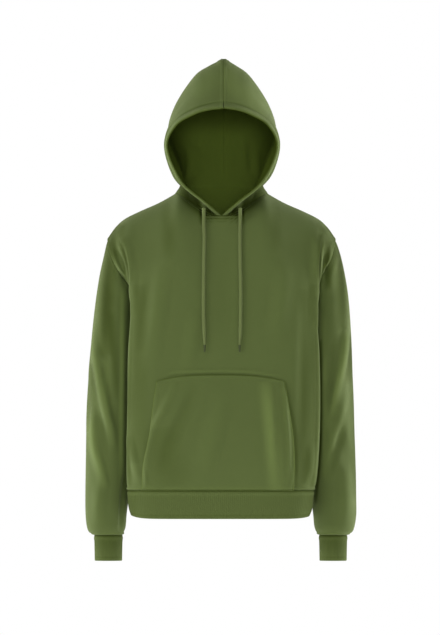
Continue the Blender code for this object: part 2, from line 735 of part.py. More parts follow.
def hood_grids(side):
    """Outer and inner grids of half the hood, from the neckline to the centre seam."""
    line = neckline()
    columns = 2 * NECK_STEPS + 1
    levels = [line]
    for level in HOOD[1:]:
        levels.append(np.array([hood_track(level, column) for column in range(columns)]))
    levels = np.array(levels)
    outer = np.array([through(levels[:, column], STEPS) for column in range(columns)])
    outer = outer.transpose(1, 0, 2)
    outer[:, -1, 0] = 0.0
    inward = normals(outer)
    toward = HOOD_MIDDLE - outer
    flip = np.where((inward * toward).sum(axis=2, keepdims=True) < 0, -1, 1)
    inward = inward * flip
    seam = np.vstack([outer[-1], outer[-2::-1, -1]])
    across = np.gradient(seam, axis=0)[:, [0, 2, 1]] * (0, -1, 1)
    across[(across * (HOOD_MIDDLE - seam)).sum(axis=1) < 0] *= -1
    inward[-1] = across[:columns]
    inward[:, -1] = across[:columns - 2:-1]
    inward[0] = neckline_inward()
    inward /= np.linalg.norm(inward, axis=2, keepdims=True)
    thick = np.full(columns, CLOTH)
    thick[:2] = CASING
    thickness = np.broadcast_to(thick[None, :, None], outer.shape).copy()
    thickness[0] = CLOTH
    inner = outer + inward * thickness
    shift = np.zeros_like(outer)
    shift[0] = neckline_up() * HALF_GAP
    outer = outer + shift
    inner = inner + shift
    for grid in (outer, inner):
        grid[:, :, 0] = np.maximum(grid[:, :, 0], HALF_GAP)
        grid[-1, :, 0] = HALF_GAP
        grid[:, -1, 0] = HALF_GAP
        grid[:, :, 0] *= side
        lean = HOOD_LEAN + SEAM_LEAN * np.exp(-(grid[:, :, 0] / LEAN_WIDTH)**2)
        grid[:, :, 0] += lean * np.clip((grid[:, :, 2] - LEAN_START_Z) / LEAN_RUN, 0, 1)
    return outer, inner


# ---------------------------------------------------------------- pocket

def pocket_side(side, z):
    """Half-width of the pocket at height z."""
    widths = [edge.left if side > 0 else edge.right for edge in POCKET]
    return float(smooth([edge.z for edge in POCKET], widths, z)[0, 0])


def pocket_grids(chest):
    """Outer and inner grids of the pocket, lifted off the front panel's points."""
    outer = []
    inner = []
    for row in range(POCKET_ROWS):
        share = row / (POCKET_ROWS - 1)
        z = HEM_SEAM_Z + HALF_GAP + (POCKET_TOP_Z - HEM_SEAM_Z - HALF_GAP) * share
        lift = POCKET_CLEAR + POCKET_BULGE * sin(pi * share)**POCKET_FULLNESS
        line_in = []
        line_out = []
        for edge in np.linspace(-1, 1, POCKET_COLUMNS + 1):
            x = edge * pocket_side(1 if edge >= 0 else -1, z)
            y = chest_depth(chest, x, z)
            line_in.append((x, y - lift, z))
            line_out.append((x, y - lift - POCKET_THICKNESS, z))
        inner.append(line_in)
        outer.append(line_out)
    return np.array(outer), np.array(inner)


# ---------------------------------------------------------------- drawcords

def cord_route(side, chest):
    """Route of a free cord end from under the hood's edge down the chest."""
    across = CORD_X[side]
    route = [(across, y, z) for y, z in CORD_TOP]
    for point in CORD:
        sway = point.sway_left if side > 0 else point.sway_right
        y = chest_depth(chest, side * across, point.z) - CORD_WIDTH / 2 - CORD_CLEAR
        route.append((across + sway, min(y, CORD_FRONT_Y), point.z))
    return [(side * x, y, z) for x, y, z in route]


def cord_object(name, route, collection):
    """A cord as a round tube along a smooth route."""
    points = even(route, CORD_STEPS)
    data = bpy.data.curves.new(name, "CURVE")
    data.dimensions = "3D"
    data.bevel_depth = CORD_WIDTH / 2
    data.bevel_resolution = 2
    data.use_fill_caps = True
    line = data.splines.new("POLY")
    line.points.add(len(points) - 1)
    for target, point in zip(line.points, points):
        target.co = (*point, 1.0)
    made = bpy.data.objects.new(name, data)
    collection.objects.link(made)
    data.materials.append(material(name + "_cloth", CORD_GREEN, CORD_ROUGHNESS))
    return points[-1]


def cord_tip_mesh(name, end):
    """The tapered end of a cord, hanging straight down from it with its wide end at the cord."""
    work = bmesh.new()
    length = CORD_END_Z - TIP_END_Z
    made = bmesh.ops.create_cone(work, cap_ends=True, segments=12,
                                 radius1=CORD_WIDTH * TIP_END_SHARE,
                                 radius2=CORD_WIDTH * TIP_TOP_SHARE, depth=length)
    drop = length / 2 + SEAM_GAP
    bmesh.ops.translate(work, verts=made["verts"], vec=(end[0], end[1], end[2] - drop))
    mesh = bpy.data.meshes.new(name)
    work.to_mesh(mesh)
    work.free()
    return mesh


# ---------------------------------------------------------------- the hoodie

def build():
    """Make every piece of the hoodie in its own collection."""
    for old in list(bpy.data.objects):
        bpy.data.objects.remove(old, do_unlink=True)
    hoodie = bpy.data.collections.new("pullover_hoodie")
    bpy.context.scene.collection.children.link(hoodie)

    front_outer, front_inner = panel_wall(FRONT)
    jersey = {
        "front_panel": wall_mesh("front_panel", front_outer, front_inner),
        "back_panel": wall_mesh("back_panel", *panel_wall(BACK)),
        "pocket": wall_mesh("pocket", *pocket_grids(front_outer)),
    }
    heights = (HEM_SEAM_Z - HALF_GAP, HEM_FOLD_Z, HEM_Z)
    rib = {"hem_band": ribbed_tube("hem_band", hem_ring, heights, RIB_STEPS_HEM, HEM_PLAIN)}

    for side, word in ((1, "left"), (-1, "right")):
        jersey["sleeve_" + word] = wall_mesh("sleeve_" + word, *sleeve_grids(side), ring=True)
        jersey["hood_" + word] = wall_mesh("hood_" + word, *hood_grids(side))
        rib["cuff_" + word] = cuff_mesh("cuff_" + word, side)
        end = cord_object("cord_" + word, cord_route(side, front_outer), hoodie)
        tip = cord_tip_mesh("cord_tip_" + word, end)
        add_object("cord_tip_" + word, tip, TIP_GREEN, TIP_ROUGHNESS, hoodie)

    for name, mesh in jersey.items():
        add_object(name, mesh, JERSEY_GREEN, JERSEY_ROUGHNESS, hoodie)
    for name, mesh in rib.items():
        add_object(name, mesh, RIB_GREEN, RIB_ROUGHNESS, hoodie)


build()
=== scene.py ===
"""Looks of the pullover hoodie: brushed jersey, ribbed bands, sewing and drawcord ends.

Every cloth piece is a thin wall laid on the form of its solid, with its creases placed one by one.
Its front faces -Y, +X is the wearer's left, and sizes are metres.
"""

import logging
from dataclasses import dataclass, field
from enum import Enum
from functools import partial
from math import pi
from typing import Any, NamedTuple

import bmesh
import bpy
import numpy as np
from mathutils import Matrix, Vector

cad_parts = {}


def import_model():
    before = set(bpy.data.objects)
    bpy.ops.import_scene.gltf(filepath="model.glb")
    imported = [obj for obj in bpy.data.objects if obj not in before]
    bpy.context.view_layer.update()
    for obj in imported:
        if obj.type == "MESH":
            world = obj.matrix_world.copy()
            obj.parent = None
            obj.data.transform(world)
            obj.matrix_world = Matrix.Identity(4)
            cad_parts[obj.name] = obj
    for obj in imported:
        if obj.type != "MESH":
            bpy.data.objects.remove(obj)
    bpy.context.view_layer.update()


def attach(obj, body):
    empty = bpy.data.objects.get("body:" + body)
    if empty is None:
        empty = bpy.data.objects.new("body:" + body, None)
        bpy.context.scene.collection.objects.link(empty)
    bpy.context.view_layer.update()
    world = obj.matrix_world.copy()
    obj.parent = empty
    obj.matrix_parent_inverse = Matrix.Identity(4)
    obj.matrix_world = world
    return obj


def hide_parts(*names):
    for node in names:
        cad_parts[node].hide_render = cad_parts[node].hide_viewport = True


LOG = logging.getLogger("hoodie")

Grid = np.ndarray
Pair = tuple[float, float]
Triple = tuple[float, float, float]
Colour = Triple
WHITE = (1.0, 1.0, 1.0, 1.0)

MM = 1000.0              # millimetres in a metre
STEPS = 3                # columns or rows of the plain pattern on each span between two stations
FINE = 5                 # rows or columns here for one of the plain pattern
NECK = 6                 # plain columns on a quarter of the neckline
ARM = 10                 # plain rows from the underarm to the shoulder
LINE_STEPS = 24          # steps on each span where a line is measured along its length
CREASE_MARKS = 41        # points on a crease's line
CLOTH = 0.002            # thickness of the jersey
EDGE_SHARE = 0.3         # how far a cloth edge rounds back, against its thickness
SEW_LAP = 0.0003         # how far two cloth edges reach into each other at a seam
# Painted shade: a trough is painted darker, and a ridge lighter, by this much for each metre of its
# height.
DEPTH_SHADE = 9.0        # how much darker a trough is, for each metre of its depth
EXTRA = (0.0013, 0.0026, 0.004, 0.0055, 0.0075, 0.01, 0.013)       # extra lines near a seam
CLEAR_OF_EXTRA = 1.1     # even lines stay this share of the last extra one away from a seam
# Limits of the painted shade, and of the painted highlight below zero.
SHADE_RANGE = (-0.8, 0.9)    # limits of how much lighter or darker a point may be
TINY = 1e-12             # least length that a vector is divided by

SIDE_PLANE = 0.012       # y of the side and shoulder seams
UNDERARM_Z = -0.232
HEM_SEAM_Z = -0.639
HEM_Z = -0.7
CUFF_SEAM_Z = -0.737
CUFF_Z = -0.7925
TIP_RANGE = (-0.15, -0.106)    # heights between which the shoulder's sewn tip begins


# ---------------------------------------------------------------- small geometry

def unit(vectors: Grid) -> Grid:
    """Vectors of any array shape at length one."""
    return vectors / np.maximum(np.linalg.norm(vectors, axis=-1, keepdims=True), TINY)


def ease(low: float, high: float, value: Grid | float) -> Grid:
    """Soft step from 0 at low to 1 at high."""
    t = np.clip((np.asarray(value, float) - low) / (high - low), 0, 1)
    return t * t * (3 - 2 * t)


def bell(value: Grid, middle: float, width: float) -> Grid:
    """Soft bump of height one round a middle."""
    return np.exp(-((value - middle) / width)**2)


class Bump(NamedTuple):
    """A soft bump: its height, where its middle lies, and its half-width."""

    height: float
    middle: float
    width: float

    def on(self, value: Grid) -> Grid:
        """The bump's height at each value."""
        return self.height * bell(value, self.middle, self.width)


def within(ranges: tuple[Pair, ...], *values: Grid) -> Grid:
    """How far each point is past the soft steps of all its values, 0 to 1."""
    return np.prod([ease(*limits, value) for limits, value in zip(ranges, values)], axis=0)


def evenly(spans: int, steps: int) -> Grid:
    """Places at even steps over a number of spans."""
    return np.linspace(0, spans, spans * steps + 1)


def blend(first: Grid, second: Grid, weight: Grid) -> Grid:
    """The first where a weight is 0, and the second where it is 1."""
    return first * (1 - weight) + second * weight


def arch(base: Grid, rise: Grid, start: Grid, end: Grid, t: Grid | float) -> Grid:
    """Curve from a base over a rise, with its slopes at both ends, read at t from 0 to 1."""
    return base + t * start + t**2 * (3 * rise - 2 * start - end) + t**3 * (start + end - 2 * rise)


def table(kind: Any, *rows: tuple[float, ...]) -> tuple[Any, ...]:
    """Stations in metres, from rows that are written in millimetres."""
    return tuple(kind(*(value / MM for value in row)) for row in rows)


def smooth(places: Any, values: Any, wanted: Any) -> Grid:
    """Smooth curve through stations.

    Args:
        places: where the stations lie, rising.
        values: the stations, one row each.
        wanted: the places to read.

    Returns:
        One row for each wanted place.
    """
    places = np.asarray(places, float)
    values = np.asarray(values, float)
    values = values.reshape(len(places), -1)
    steps = np.diff(values, axis=0) / np.diff(places)[:, None]
    grade = np.vstack([steps[:1], (steps[1:] + steps[:-1]) / 2, steps[-1:]])
    wanted = np.atleast_1d(wanted).astype(float)
    span = np.clip(np.searchsorted(places, wanted) - 1, 0, len(places) - 2)
    width = (places[span + 1] - places[span])[:, None]
    t = (wanted[:, None] - places[span][:, None]) / width
    return arch(values[span], values[span + 1] - values[span], grade[span] * width,
                grade[span + 1] * width, t)


def read_line(stations: Any, marks: Any) -> Grid:
    """Smooth line through stations, read at marks counted in stations."""
    return smooth(np.arange(len(stations)), stations, marks)


def travel(line: Grid) -> Grid:
    """Length along a line of points, at each of them."""
    return np.concatenate([[0], np.cumsum(np.linalg.norm(np.diff(line, axis=0), axis=1))])


def at_length(line: Grid, lengths: Grid) -> Grid:
    """Points of a line at lengths along it.

    Args:
        line: its points.
        lengths: from its start.

    Returns:
        A point for each length.
    """
    along = travel(line)
    return np.column_stack([np.interp(lengths, along, line[:, axis])
                            for axis in range(line.shape[1])])


def measured(stations: Any, shares: Any) -> Grid:
    """Smooth line through stations, read at shares of its length.

    Args:
        stations: points it runs through.
        shares: of its whole length.

    Returns:
        A point for each share.
    """
    count = len(stations) - 1
    fine = read_line(stations, evenly(count, LINE_STEPS))
    return at_length(fine, np.asarray(shares, float) * travel(fine)[-1])


def with_extra(places: Grid, size: float, start: bool, end: bool) -> Grid:
    """Places along a piece, with more of them near its seams.

    Args:
        places: even places, rising.
        size: metres in one unit of the places.
        start: whether a seam lies at the first place.
        end: whether one lies at the last.

    Returns:
        All the places, rising.
    """
    extra = np.array(EXTRA) / size
    clear = extra[-1] * CLEAR_OF_EXTRA
    even, groups = places, []
    if start:
        groups.append(places[0] + extra)
        even = even[(even == places[0]) | (even > places[0] + clear)]
    if end:
        groups.append(places[-1] - extra)
        even = even[(even == places[-1]) | (even < places[-1] - clear)]
    return np.unique(np.concatenate([even, *groups]))


def grid_normals(grid: Grid, ring: bool) -> Grid:
    """Unit normals of a grid of points, of either sign.

    Args:
        grid: rows and columns of points.
        ring: whether the columns close into a tube.

    Returns:
        A normal for each point.
    """
    along = np.gradient(grid, axis=0)
    if ring:
        across = np.roll(grid, -1, axis=1) - np.roll(grid, 1, axis=1)
    else:
        across = np.gradient(grid, axis=1)
    return unit(np.cross(across, along))


def turned(normals: Grid, toward: Grid) -> Grid:
    """Normals turned to the side that a direction for each of them points to."""
    return normals * np.where((normals * toward).sum(axis=2, keepdims=True) < 0, -1, 1)


def lattice(rows: int, columns: int, ring: bool) -> tuple[Grid, Grid]:
    """Number a grid's points and find its faces.

    Args:
        rows: of points.
        columns: of points.
        ring: whether the columns close into a tube.

    Returns:
        The points' numbers, and four of them for each face.
    """
    numbers = np.arange(rows * columns).reshape(rows, columns)
    wide = np.hstack([numbers, numbers[:, :1]]) if ring else numbers
    quads = np.stack([wide[:-1, :-1], wide[:-1, 1:], wide[1:, 1:], wide[1:, :-1]], -1)
    return numbers, quads.reshape(-1, 4)


# ---------------------------------------------------------------- meshes

def shell(name: str, points: Grid, faces: list[Any]) -> tuple[bpy.types.Mesh, Grid]:
    """Make a closed mesh whose faces point outwards.

    Args:
        name: the piece's name.
        points: one row each.
        faces: the numbers of their points.

    Returns:
        The mesh, and the point at each of its face corners.
    """
    mesh = bpy.data.meshes.new(name)
    mesh.from_pydata(points.tolist(), [], faces)
    work = bmesh.new()
    work.from_mesh(mesh)
    bmesh.ops.recalc_face_normals(work, faces=work.faces)
    work.to_mesh(mesh)
    work.free()
    mesh.shade_smooth()
    corners = np.zeros(len(mesh.loops), np.int64)
    mesh.loops.foreach_get("vertex_index", corners)
    return mesh, corners


def lay_map(mesh: bpy.types.Mesh, flat: Grid) -> None:
    """Give a mesh its cloth map, a pair of places for each face corner."""
    layer = mesh.uv_layers.new(name="cloth")
    layer.uv.foreach_set("vector", flat.astype(np.float32).ravel())


def store(mesh: bpy.types.Mesh, name: str, values: Grid) -> None:
    """Keep a number or a vector on each point of a mesh.

    Args:
        mesh: the mesh.
        name: of the attribute.
        values: one for each point.
    """
    kind, slot = ("FLOAT", "value") if values.ndim == 1 else ("FLOAT_VECTOR", "vector")
    made = mesh.attributes.new(name, kind, "POINT")
    made.data.foreach_set(slot, values.astype(np.float32).ravel())


def placed(name: str, data: bpy.types.ID) -> bpy.types.Object:
    """Put new data in the scene as an object.

    Args:
        name: the object's name.
        data: its mesh, camera or light.

    Returns:
        The object.
    """
    made = bpy.data.objects.new(name, data)
    bpy.context.scene.collection.objects.link(made)
    return made


class Side(Enum):
    """The wearer's left or right."""

    LEFT = 1
    RIGHT = -1

    @property
    def word(self) -> str:
        """The side in a piece's name."""
        return self.name.lower()

    @property
    def mirror(self) -> tuple[int, int, int]:
        """Factors that turn a point on the wearer's left to this side."""
        return self.value, 1, 1


class View(Enum):
    """The side from which a crease is laid out: its across axis and the way it faces."""

    FRONT = (0, (0.0, -1.0, 0.0))
    BACK = (0, (0.0, 1.0, 0.0))
    LEFT = (1, (1.0, 0.0, 0.0))
    RIGHT = (1, (-1.0, 0.0, 0.0))


class Rim(Enum):
    """An edge of a piece's grid."""

    BOTTOM = "first row"
    TOP = "last row"
    START = "first column"
    END = "last column"


# ---------------------------------------------------------------- cloth

@dataclass(frozen=True)
class Crease:
    """A soft ridge or trough on a short line, seen square from one side, as fold lays it, with
    painted shade or a painted highlight along it.

    Args:
        form_faces: how far the cloth has to face the view to take its form.
        shade_faces: the same for its painted shade.
    """

    view: View
    line: tuple[Pair, ...]
    height: float
    width: float
    steep: float = 1.0
    fade: float = 1.0
    shade: float = 0.0
    form_faces: Pair = (0.0, 0.45)
    shade_faces: Pair = (-0.25, 0.1)

    def shares(self, points: Grid, outward: Grid) -> tuple[Grid, Grid]:
        """How much of the crease's form and of its painted shade each point takes.

        Args:
            points: points of the cloth.
            outward: the way each of them faces.

        Returns:
            Two shares from 0 to 1 for each point.
        """
        axis, facing = self.view.value
        flat = points[..., (axis, 2)].reshape(-1, 2)
        route = read_line(self.line, np.linspace(0, len(self.line) - 1, CREASE_MARKS))
        near = np.full(len(flat), np.inf)
        share = np.zeros(len(flat))
        hand = np.ones(len(flat))
        marks = travel(route) / travel(route)[-1]
        for first, second, low, high in zip(route[:-1], route[1:], marks[:-1], marks[1:]):
            way = second - first
            t = np.clip((flat - first) @ way / (way @ way), 0, 1)
            off = flat - first - t[:, None] * way
            gap = np.linalg.norm(off, axis=1)
            closer = gap < near
            near = np.where(closer, gap, near)
            share = np.where(closer, low + (high - low) * t, share)
            hand = np.where(closer, way[0] * off[:, 1] - way[1] * off[:, 0], hand)
        width = np.where(hand > 0, self.width, self.width * self.steep)
        across = np.where(near < width, (1 + np.cos(pi * near / width)) / 2, 0.0)
        both = across * np.sin(pi * share)**self.fade
        faces = outward.reshape(-1, 3) @ np.array(facing)
        form, shade = ((both * ease(low, high, faces)).reshape(points.shape[:-1])
                       for low, high in (self.form_faces, self.shade_faces))
        return form, shade


def fold(view: View, height: float, width: float, *line: Pair,
         steep: float = 1.0, fade: float = 1.0, shade: float = 0.0) -> Crease:
    """A crease whose sizes and points are written in millimetres.

    Args:
        view: the side from which it is laid out.
        height: how far it stands out, below zero for a trough.
        width: half-width on its wide side, to the left of the line's way.
        line: its points, across and up.
        steep: share of that width on the other side.
        fade: power of its fading toward both ends.
        shade: painted shade along it, below zero for a painted highlight.

    Returns:
        The crease in metres.
    """
    return Crease(view, table(lambda *point: point, *line), height / MM, width / MM,
                  steep, fade, shade)


front_fold = partial(fold, View.FRONT)
back_fold = partial(fold, View.BACK)
left_fold = partial(fold, View.LEFT)
right_fold = partial(fold, View.RIGHT)


def shadow(width: float, shade: float, *line: Pair, steep: float = 1.0,
           fade: float = 0.35) -> Crease:
    """A painted shadow on the front, or a painted highlight below zero, without form."""
    return front_fold(0.0, width, *line, steep=steep, fade=fade, shade=shade)


class Roll(NamedTuple):
    """A sewn edge: how far it stands up and dips, the painted shadow along its seam and that
    shadow's half-width.
    """

    welt: float
    dip: float
    shade: float = 0.0
    reach: float = 0.0026


@dataclass(frozen=True)
class SeamForm:
    """How cloth stands beside any seam, by distance, and its painted seam shadow and painted
    highlight, by share of its reach.
    """

    welt: Bump = Bump(1.0, 0.0042, 0.0024)
    dip: Bump = Bump(1.0, 0.0, 0.0016)
    sink: Bump = Bump(0.4, 0.0085, 0.0018)
    # Painted shadow along the seam, and a painted highlight beside it.
    dark: Bump = Bump(1.0, 0.0, 1.0)
    light: Bump = Bump(0.3, 2.4, 1.0)


SEAM = SeamForm()


@dataclass
class Cloth:
    """One piece of cloth: a grid of outer points and the way its thickness runs.

    Args:
        name: the piece's name.
        outer: rows and columns of points.
        inward: unit directions of the thickness.
        wall: plain thickness.
        ring: whether the columns close into a tube.
        thickness: of the wall, at each point.
        hollow: how much darker each point's colour is painted where shade falls, below zero for a
            painted highlight.
        deep: how far the wall's inner layer lies from an opening, 0 to 1, which sets the inside's
            painted shade near the opening and painted light further in.
    """

    name: str
    outer: Grid
    inward: Grid
    wall: float = CLOTH
    ring: bool = False
    thickness: Grid = field(init=False)
    hollow: Grid = field(init=False)
    deep: Grid = field(init=False)

    def __post_init__(self) -> None:
        """Start with even cloth that is evenly lit."""
        self.thickness = np.full(self.outer.shape[:2], self.wall)
        self.hollow = np.zeros(self.outer.shape[:2])
        self.deep = np.ones(self.outer.shape[:2])

    @property
    def places(self) -> Grid:
        """The points' x, y and z, a grid of each."""
        return np.moveaxis(self.outer, -1, 0)

    def lift(self, amount: Grid) -> None:
        """Move the points out by an amount each."""
        self.outer = self.outer - self.inward * amount[..., None]

    def crease(self, creases: tuple[Crease, ...]) -> None:
        """Lay creases on the cloth, with their painted shade and painted highlights.

        Args:
            creases: all of them, each on the same plain form.
        """
        total = np.zeros(self.outer.shape[:2])
        for crease in creases:
            form, shade = crease.shares(self.outer, -self.inward)
            total += crease.height * form
            # Painted shade: each crease's own, plus troughs painted darker and ridges painted
            # lighter by their height.
            self.hollow += crease.shade * shade - crease.height * DEPTH_SHADE * form
        self.lift(total)

    def distance(self, rim: Rim) -> Grid:
        """Length over the cloth from one of its edges.

        Args:
            rim: the edge.

        Returns:
            The length at each point.
        """
        axis = 0 if rim in (Rim.BOTTOM, Rim.TOP) else 1
        steps = np.linalg.norm(np.diff(self.outer, axis=axis), axis=2)
        zero = np.zeros_like(np.take(steps, [0], axis=axis))
        if rim in (Rim.BOTTOM, Rim.START):
            return np.concatenate([zero, np.cumsum(steps, axis=axis)], axis=axis)
        back = np.cumsum(np.flip(steps, axis), axis=axis)
        return np.flip(np.concatenate([zero, back], axis=axis), axis)

    def roll(self, rim: Rim, edge: Roll) -> None:
        """Sew an edge: the cloth dips into the seam and stands up beside it, with a painted shadow
        in the seam and a painted highlight beside it.

        Args:
            rim: the edge.
            edge: its form and its painted shade.
        """
        away = self.distance(rim)
        share = away / edge.reach
        # Painted shadow in the seam and a painted highlight beside it.
        self.hollow += edge.shade * (SEAM.dark.on(share) - SEAM.light.on(share))
        self.lift(edge.welt * (SEAM.welt.on(away) - SEAM.sink.on(away))
                  - edge.dip * SEAM.dip.on(away))

    def line(self, rim: Rim, away: float) -> tuple[Grid, Grid]:
        """A line on the cloth beside one of its edges.

        Args:
            rim: the edge.
            away: distance from it over the cloth.

        Returns:
            Points, and the way the cloth faces at each.
        """
        far = self.distance(rim)
        grid, facing = self.outer, -self.inward
        if rim in (Rim.START, Rim.END):
            grid, facing, far = (np.swapaxes(item, 0, 1) for item in (grid, facing, far))
        if rim in (Rim.TOP, Rim.END):
            grid, facing, far = grid[::-1], facing[::-1], far[::-1]
        points, normals = (np.array([[np.interp(away, far[:, column], source[:, column, axis])
                                      for axis in range(3)] for column in range(grid.shape[1])])
                           for source in (grid, facing))
        return points, unit(normals)

    def build(self, rub: float = 0.01) -> bpy.types.Object:
        """Make the closed wall, its edges rounded, with its cloth map.

        Args:
            rub: distance from an edge within which the cloth is rubbed.

        Returns:
            The new object.
        """
        inner = self.outer + self.inward * self.thickness[..., None]
        pull = np.zeros_like(self.outer)
        reach = (self.thickness * EDGE_SHARE)[..., None]
        edges = [(np.s_[0], np.s_[1]), (np.s_[-1], np.s_[-2])]
        if not self.ring:
            edges += [(np.s_[:, 0], np.s_[:, 1]), (np.s_[:, -1], np.s_[:, -2])]
        for edge, next_to in edges:
            pull[edge] += unit(self.outer[next_to] - self.outer[edge]) * reach[edge]
        middle = (self.outer + inner) / 2 - unit(pull) * SEW_LAP
        outer, inner = self.outer + pull, inner + pull
        numbers, quads = lattice(*outer.shape[:2], self.ring)
        count = numbers.size
        loops = [numbers[0], numbers[-1]]
        if not self.ring:
            loops = [np.concatenate([numbers[0], numbers[1:, -1], numbers[-1, -2::-1],
                                     numbers[-2:0:-1, 0]])]
        faces = [quads, quads[:, ::-1] + count]
        points = [outer.reshape(-1, 3), inner.reshape(-1, 3)]
        source = [np.arange(count), np.arange(count)]
        start = 2 * count
        for loop in loops:
            middles = start + np.arange(len(loop))
            after, after_middle = np.roll(loop, -1), np.roll(middles, -1)
            faces.append(np.column_stack([loop, middles, after_middle, after]))
            faces.append(np.column_stack([middles, loop + count, after + count, after_middle]))
            points.append(middle.reshape(-1, 3)[loop])
            source.append(loop)
            start += len(loop)
        mesh, corners = shell(self.name, np.vstack(points), np.vstack(faces).tolist())
        self._map(mesh, corners, np.concatenate(source), rub)
        return placed(self.name, mesh)

    def _map(self, mesh: bpy.types.Mesh, corners: Grid, source: Grid, rub: float) -> None:
        """Give the wall its cloth map in metres, and what its finish reads.

        Args:
            mesh: of the wall.
            corners: the point at each of its face corners.
            source: the grid's point behind each of the mesh's points.
            rub: distance from an edge within which the cloth is rubbed.
        """
        up = self.distance(Rim.BOTTOM).ravel()[source]
        across = self.distance(Rim.START)
        girth = across[:, -1] + np.linalg.norm(self.outer[:, 0] - self.outer[:, -1], axis=1)
        columns = across.shape[1]
        side = across.ravel()[source]
        flat = np.column_stack([side[corners], up[corners]])
        if self.ring:
            column = (source % columns)[corners].reshape(-1, 4)
            closing = (column.max(1) - column.min(1)) > columns / 2
            first = (column == 0) & closing[:, None]
            row = (source // columns)[corners].reshape(-1, 4)
            flat = flat.reshape(-1, 4, 2)
            flat[..., 0] = np.where(first, girth[row], flat[..., 0])
            flat = flat.reshape(-1, 2)
        lay_map(mesh, flat)
        rims = (Rim.BOTTOM, Rim.TOP) if self.ring else tuple(Rim)
        nearest = np.min([self.distance(rim) for rim in rims], axis=0)
        # The inner layer and how deep inside it lies, for the inside's painted shade and light; the
        # painted shade and highlight; the rubbed edges.
        store(mesh, "inside", np.clip(np.arange(len(source)) // self.deep.size, 0, 1))
        store(mesh, "deep", self.deep.ravel()[source])
        store(mesh, "hollow", np.clip(self.hollow.ravel()[source], *SHADE_RANGE))
        store(mesh, "rub", bell(nearest.ravel()[source], 0.0, rub))


# ---------------------------------------------------------------- shared seams

class Station(NamedTuple):
    """A point of a seam on the wearer's left."""

    x: float
    y: float
    z: float


@dataclass(frozen=True)
class Neckline:
    """The seam between the hood and the body, from the front middle to the back middle."""

    shoulder: Pair = (0.101, 0.007)
    front: Pair = (-0.088, -0.041)
    back: Pair = (0.08, 0.022)
    dip: float = 3.0
    fall_front: float = 0.1
    fall_side: float = 0.5

    def line(self, angle: Grid) -> Grid:
        """Points at angles from 0 at the front middle to pi at the back middle.

        Args:
            angle: one for each point.

        Returns:
            Points on the wearer's left.
        """
        share = np.abs(np.cos(angle))
        front = angle <= pi / 2
        reach_y = np.where(front, self.front[0], self.back[0]) - SIDE_PLANE
        reach_z = np.where(front, self.front[1], self.back[1]) - self.shoulder[1]
        drop = np.where(front, share**self.dip, share)
        return np.column_stack([self.shoulder[0] * np.sin(angle), SIDE_PLANE + reach_y * share,
                                self.shoulder[1] + reach_z * drop])

    def inward(self, angle: Grid) -> Grid:
        """Direction of the cloth's thickness at the same angles."""
        fall = self.fall_side * np.sin(angle)**2 + self.fall_front
        return unit(np.column_stack([-np.sin(angle), np.cos(angle), -fall]))


@dataclass(frozen=True)
class Armhole:
    """The seam between the body and a sleeve, from the underarm to the shoulder tip."""

    front: tuple[Station, ...] = table(
        Station,
        (168, 12, -232), (199, -36, -196), (232, -50, -150), (245.5, -26, -112), (249, 12, -94),
    )
    back: tuple[Station, ...] = table(
        Station,
        (168, 12, -232), (192, 66, -203), (226, 84, -152), (245, 54, -110), (249, 12, -94),
    )
    middle: Station = Station(0.21, 0.016, -0.16)

    def line(self, branch: tuple[Station, ...], shares: Grid) -> Grid:
        """Points of one branch at shares of its length."""
        return measured(branch, shares)

    def inward(self, branch: tuple[Station, ...], shares: Grid) -> Grid:
        """Direction of the cloth's thickness there, toward the armhole's middle.

        Args:
            branch: the front's or the back's half.
            shares: of its length, from the underarm.

        Returns:
            A unit direction for each share.
        """
        low, high = branch[0], branch[-1]
        out = unit(np.array([high.z - low.z, 0.0, low.x - high.x]))
        toward = np.array(self.middle) - self.line(branch, shares)
        toward -= np.outer(toward @ out, out)
        toward[:, 1] *= np.clip(np.minimum(shares, 1 - shares) * ARM, 0, 1)
        return unit(toward)


NECKLINE = Neckline()
ARMHOLE = Armhole()


# ---------------------------------------------------------------- body

class Level(NamedTuple):
    """A level of the body: half-widths of the front fold, depths, side seam and back."""

    z: float
    fold_left: float
    fold_right: float
    front: float
    fold_y: float
    side: float
    back: float


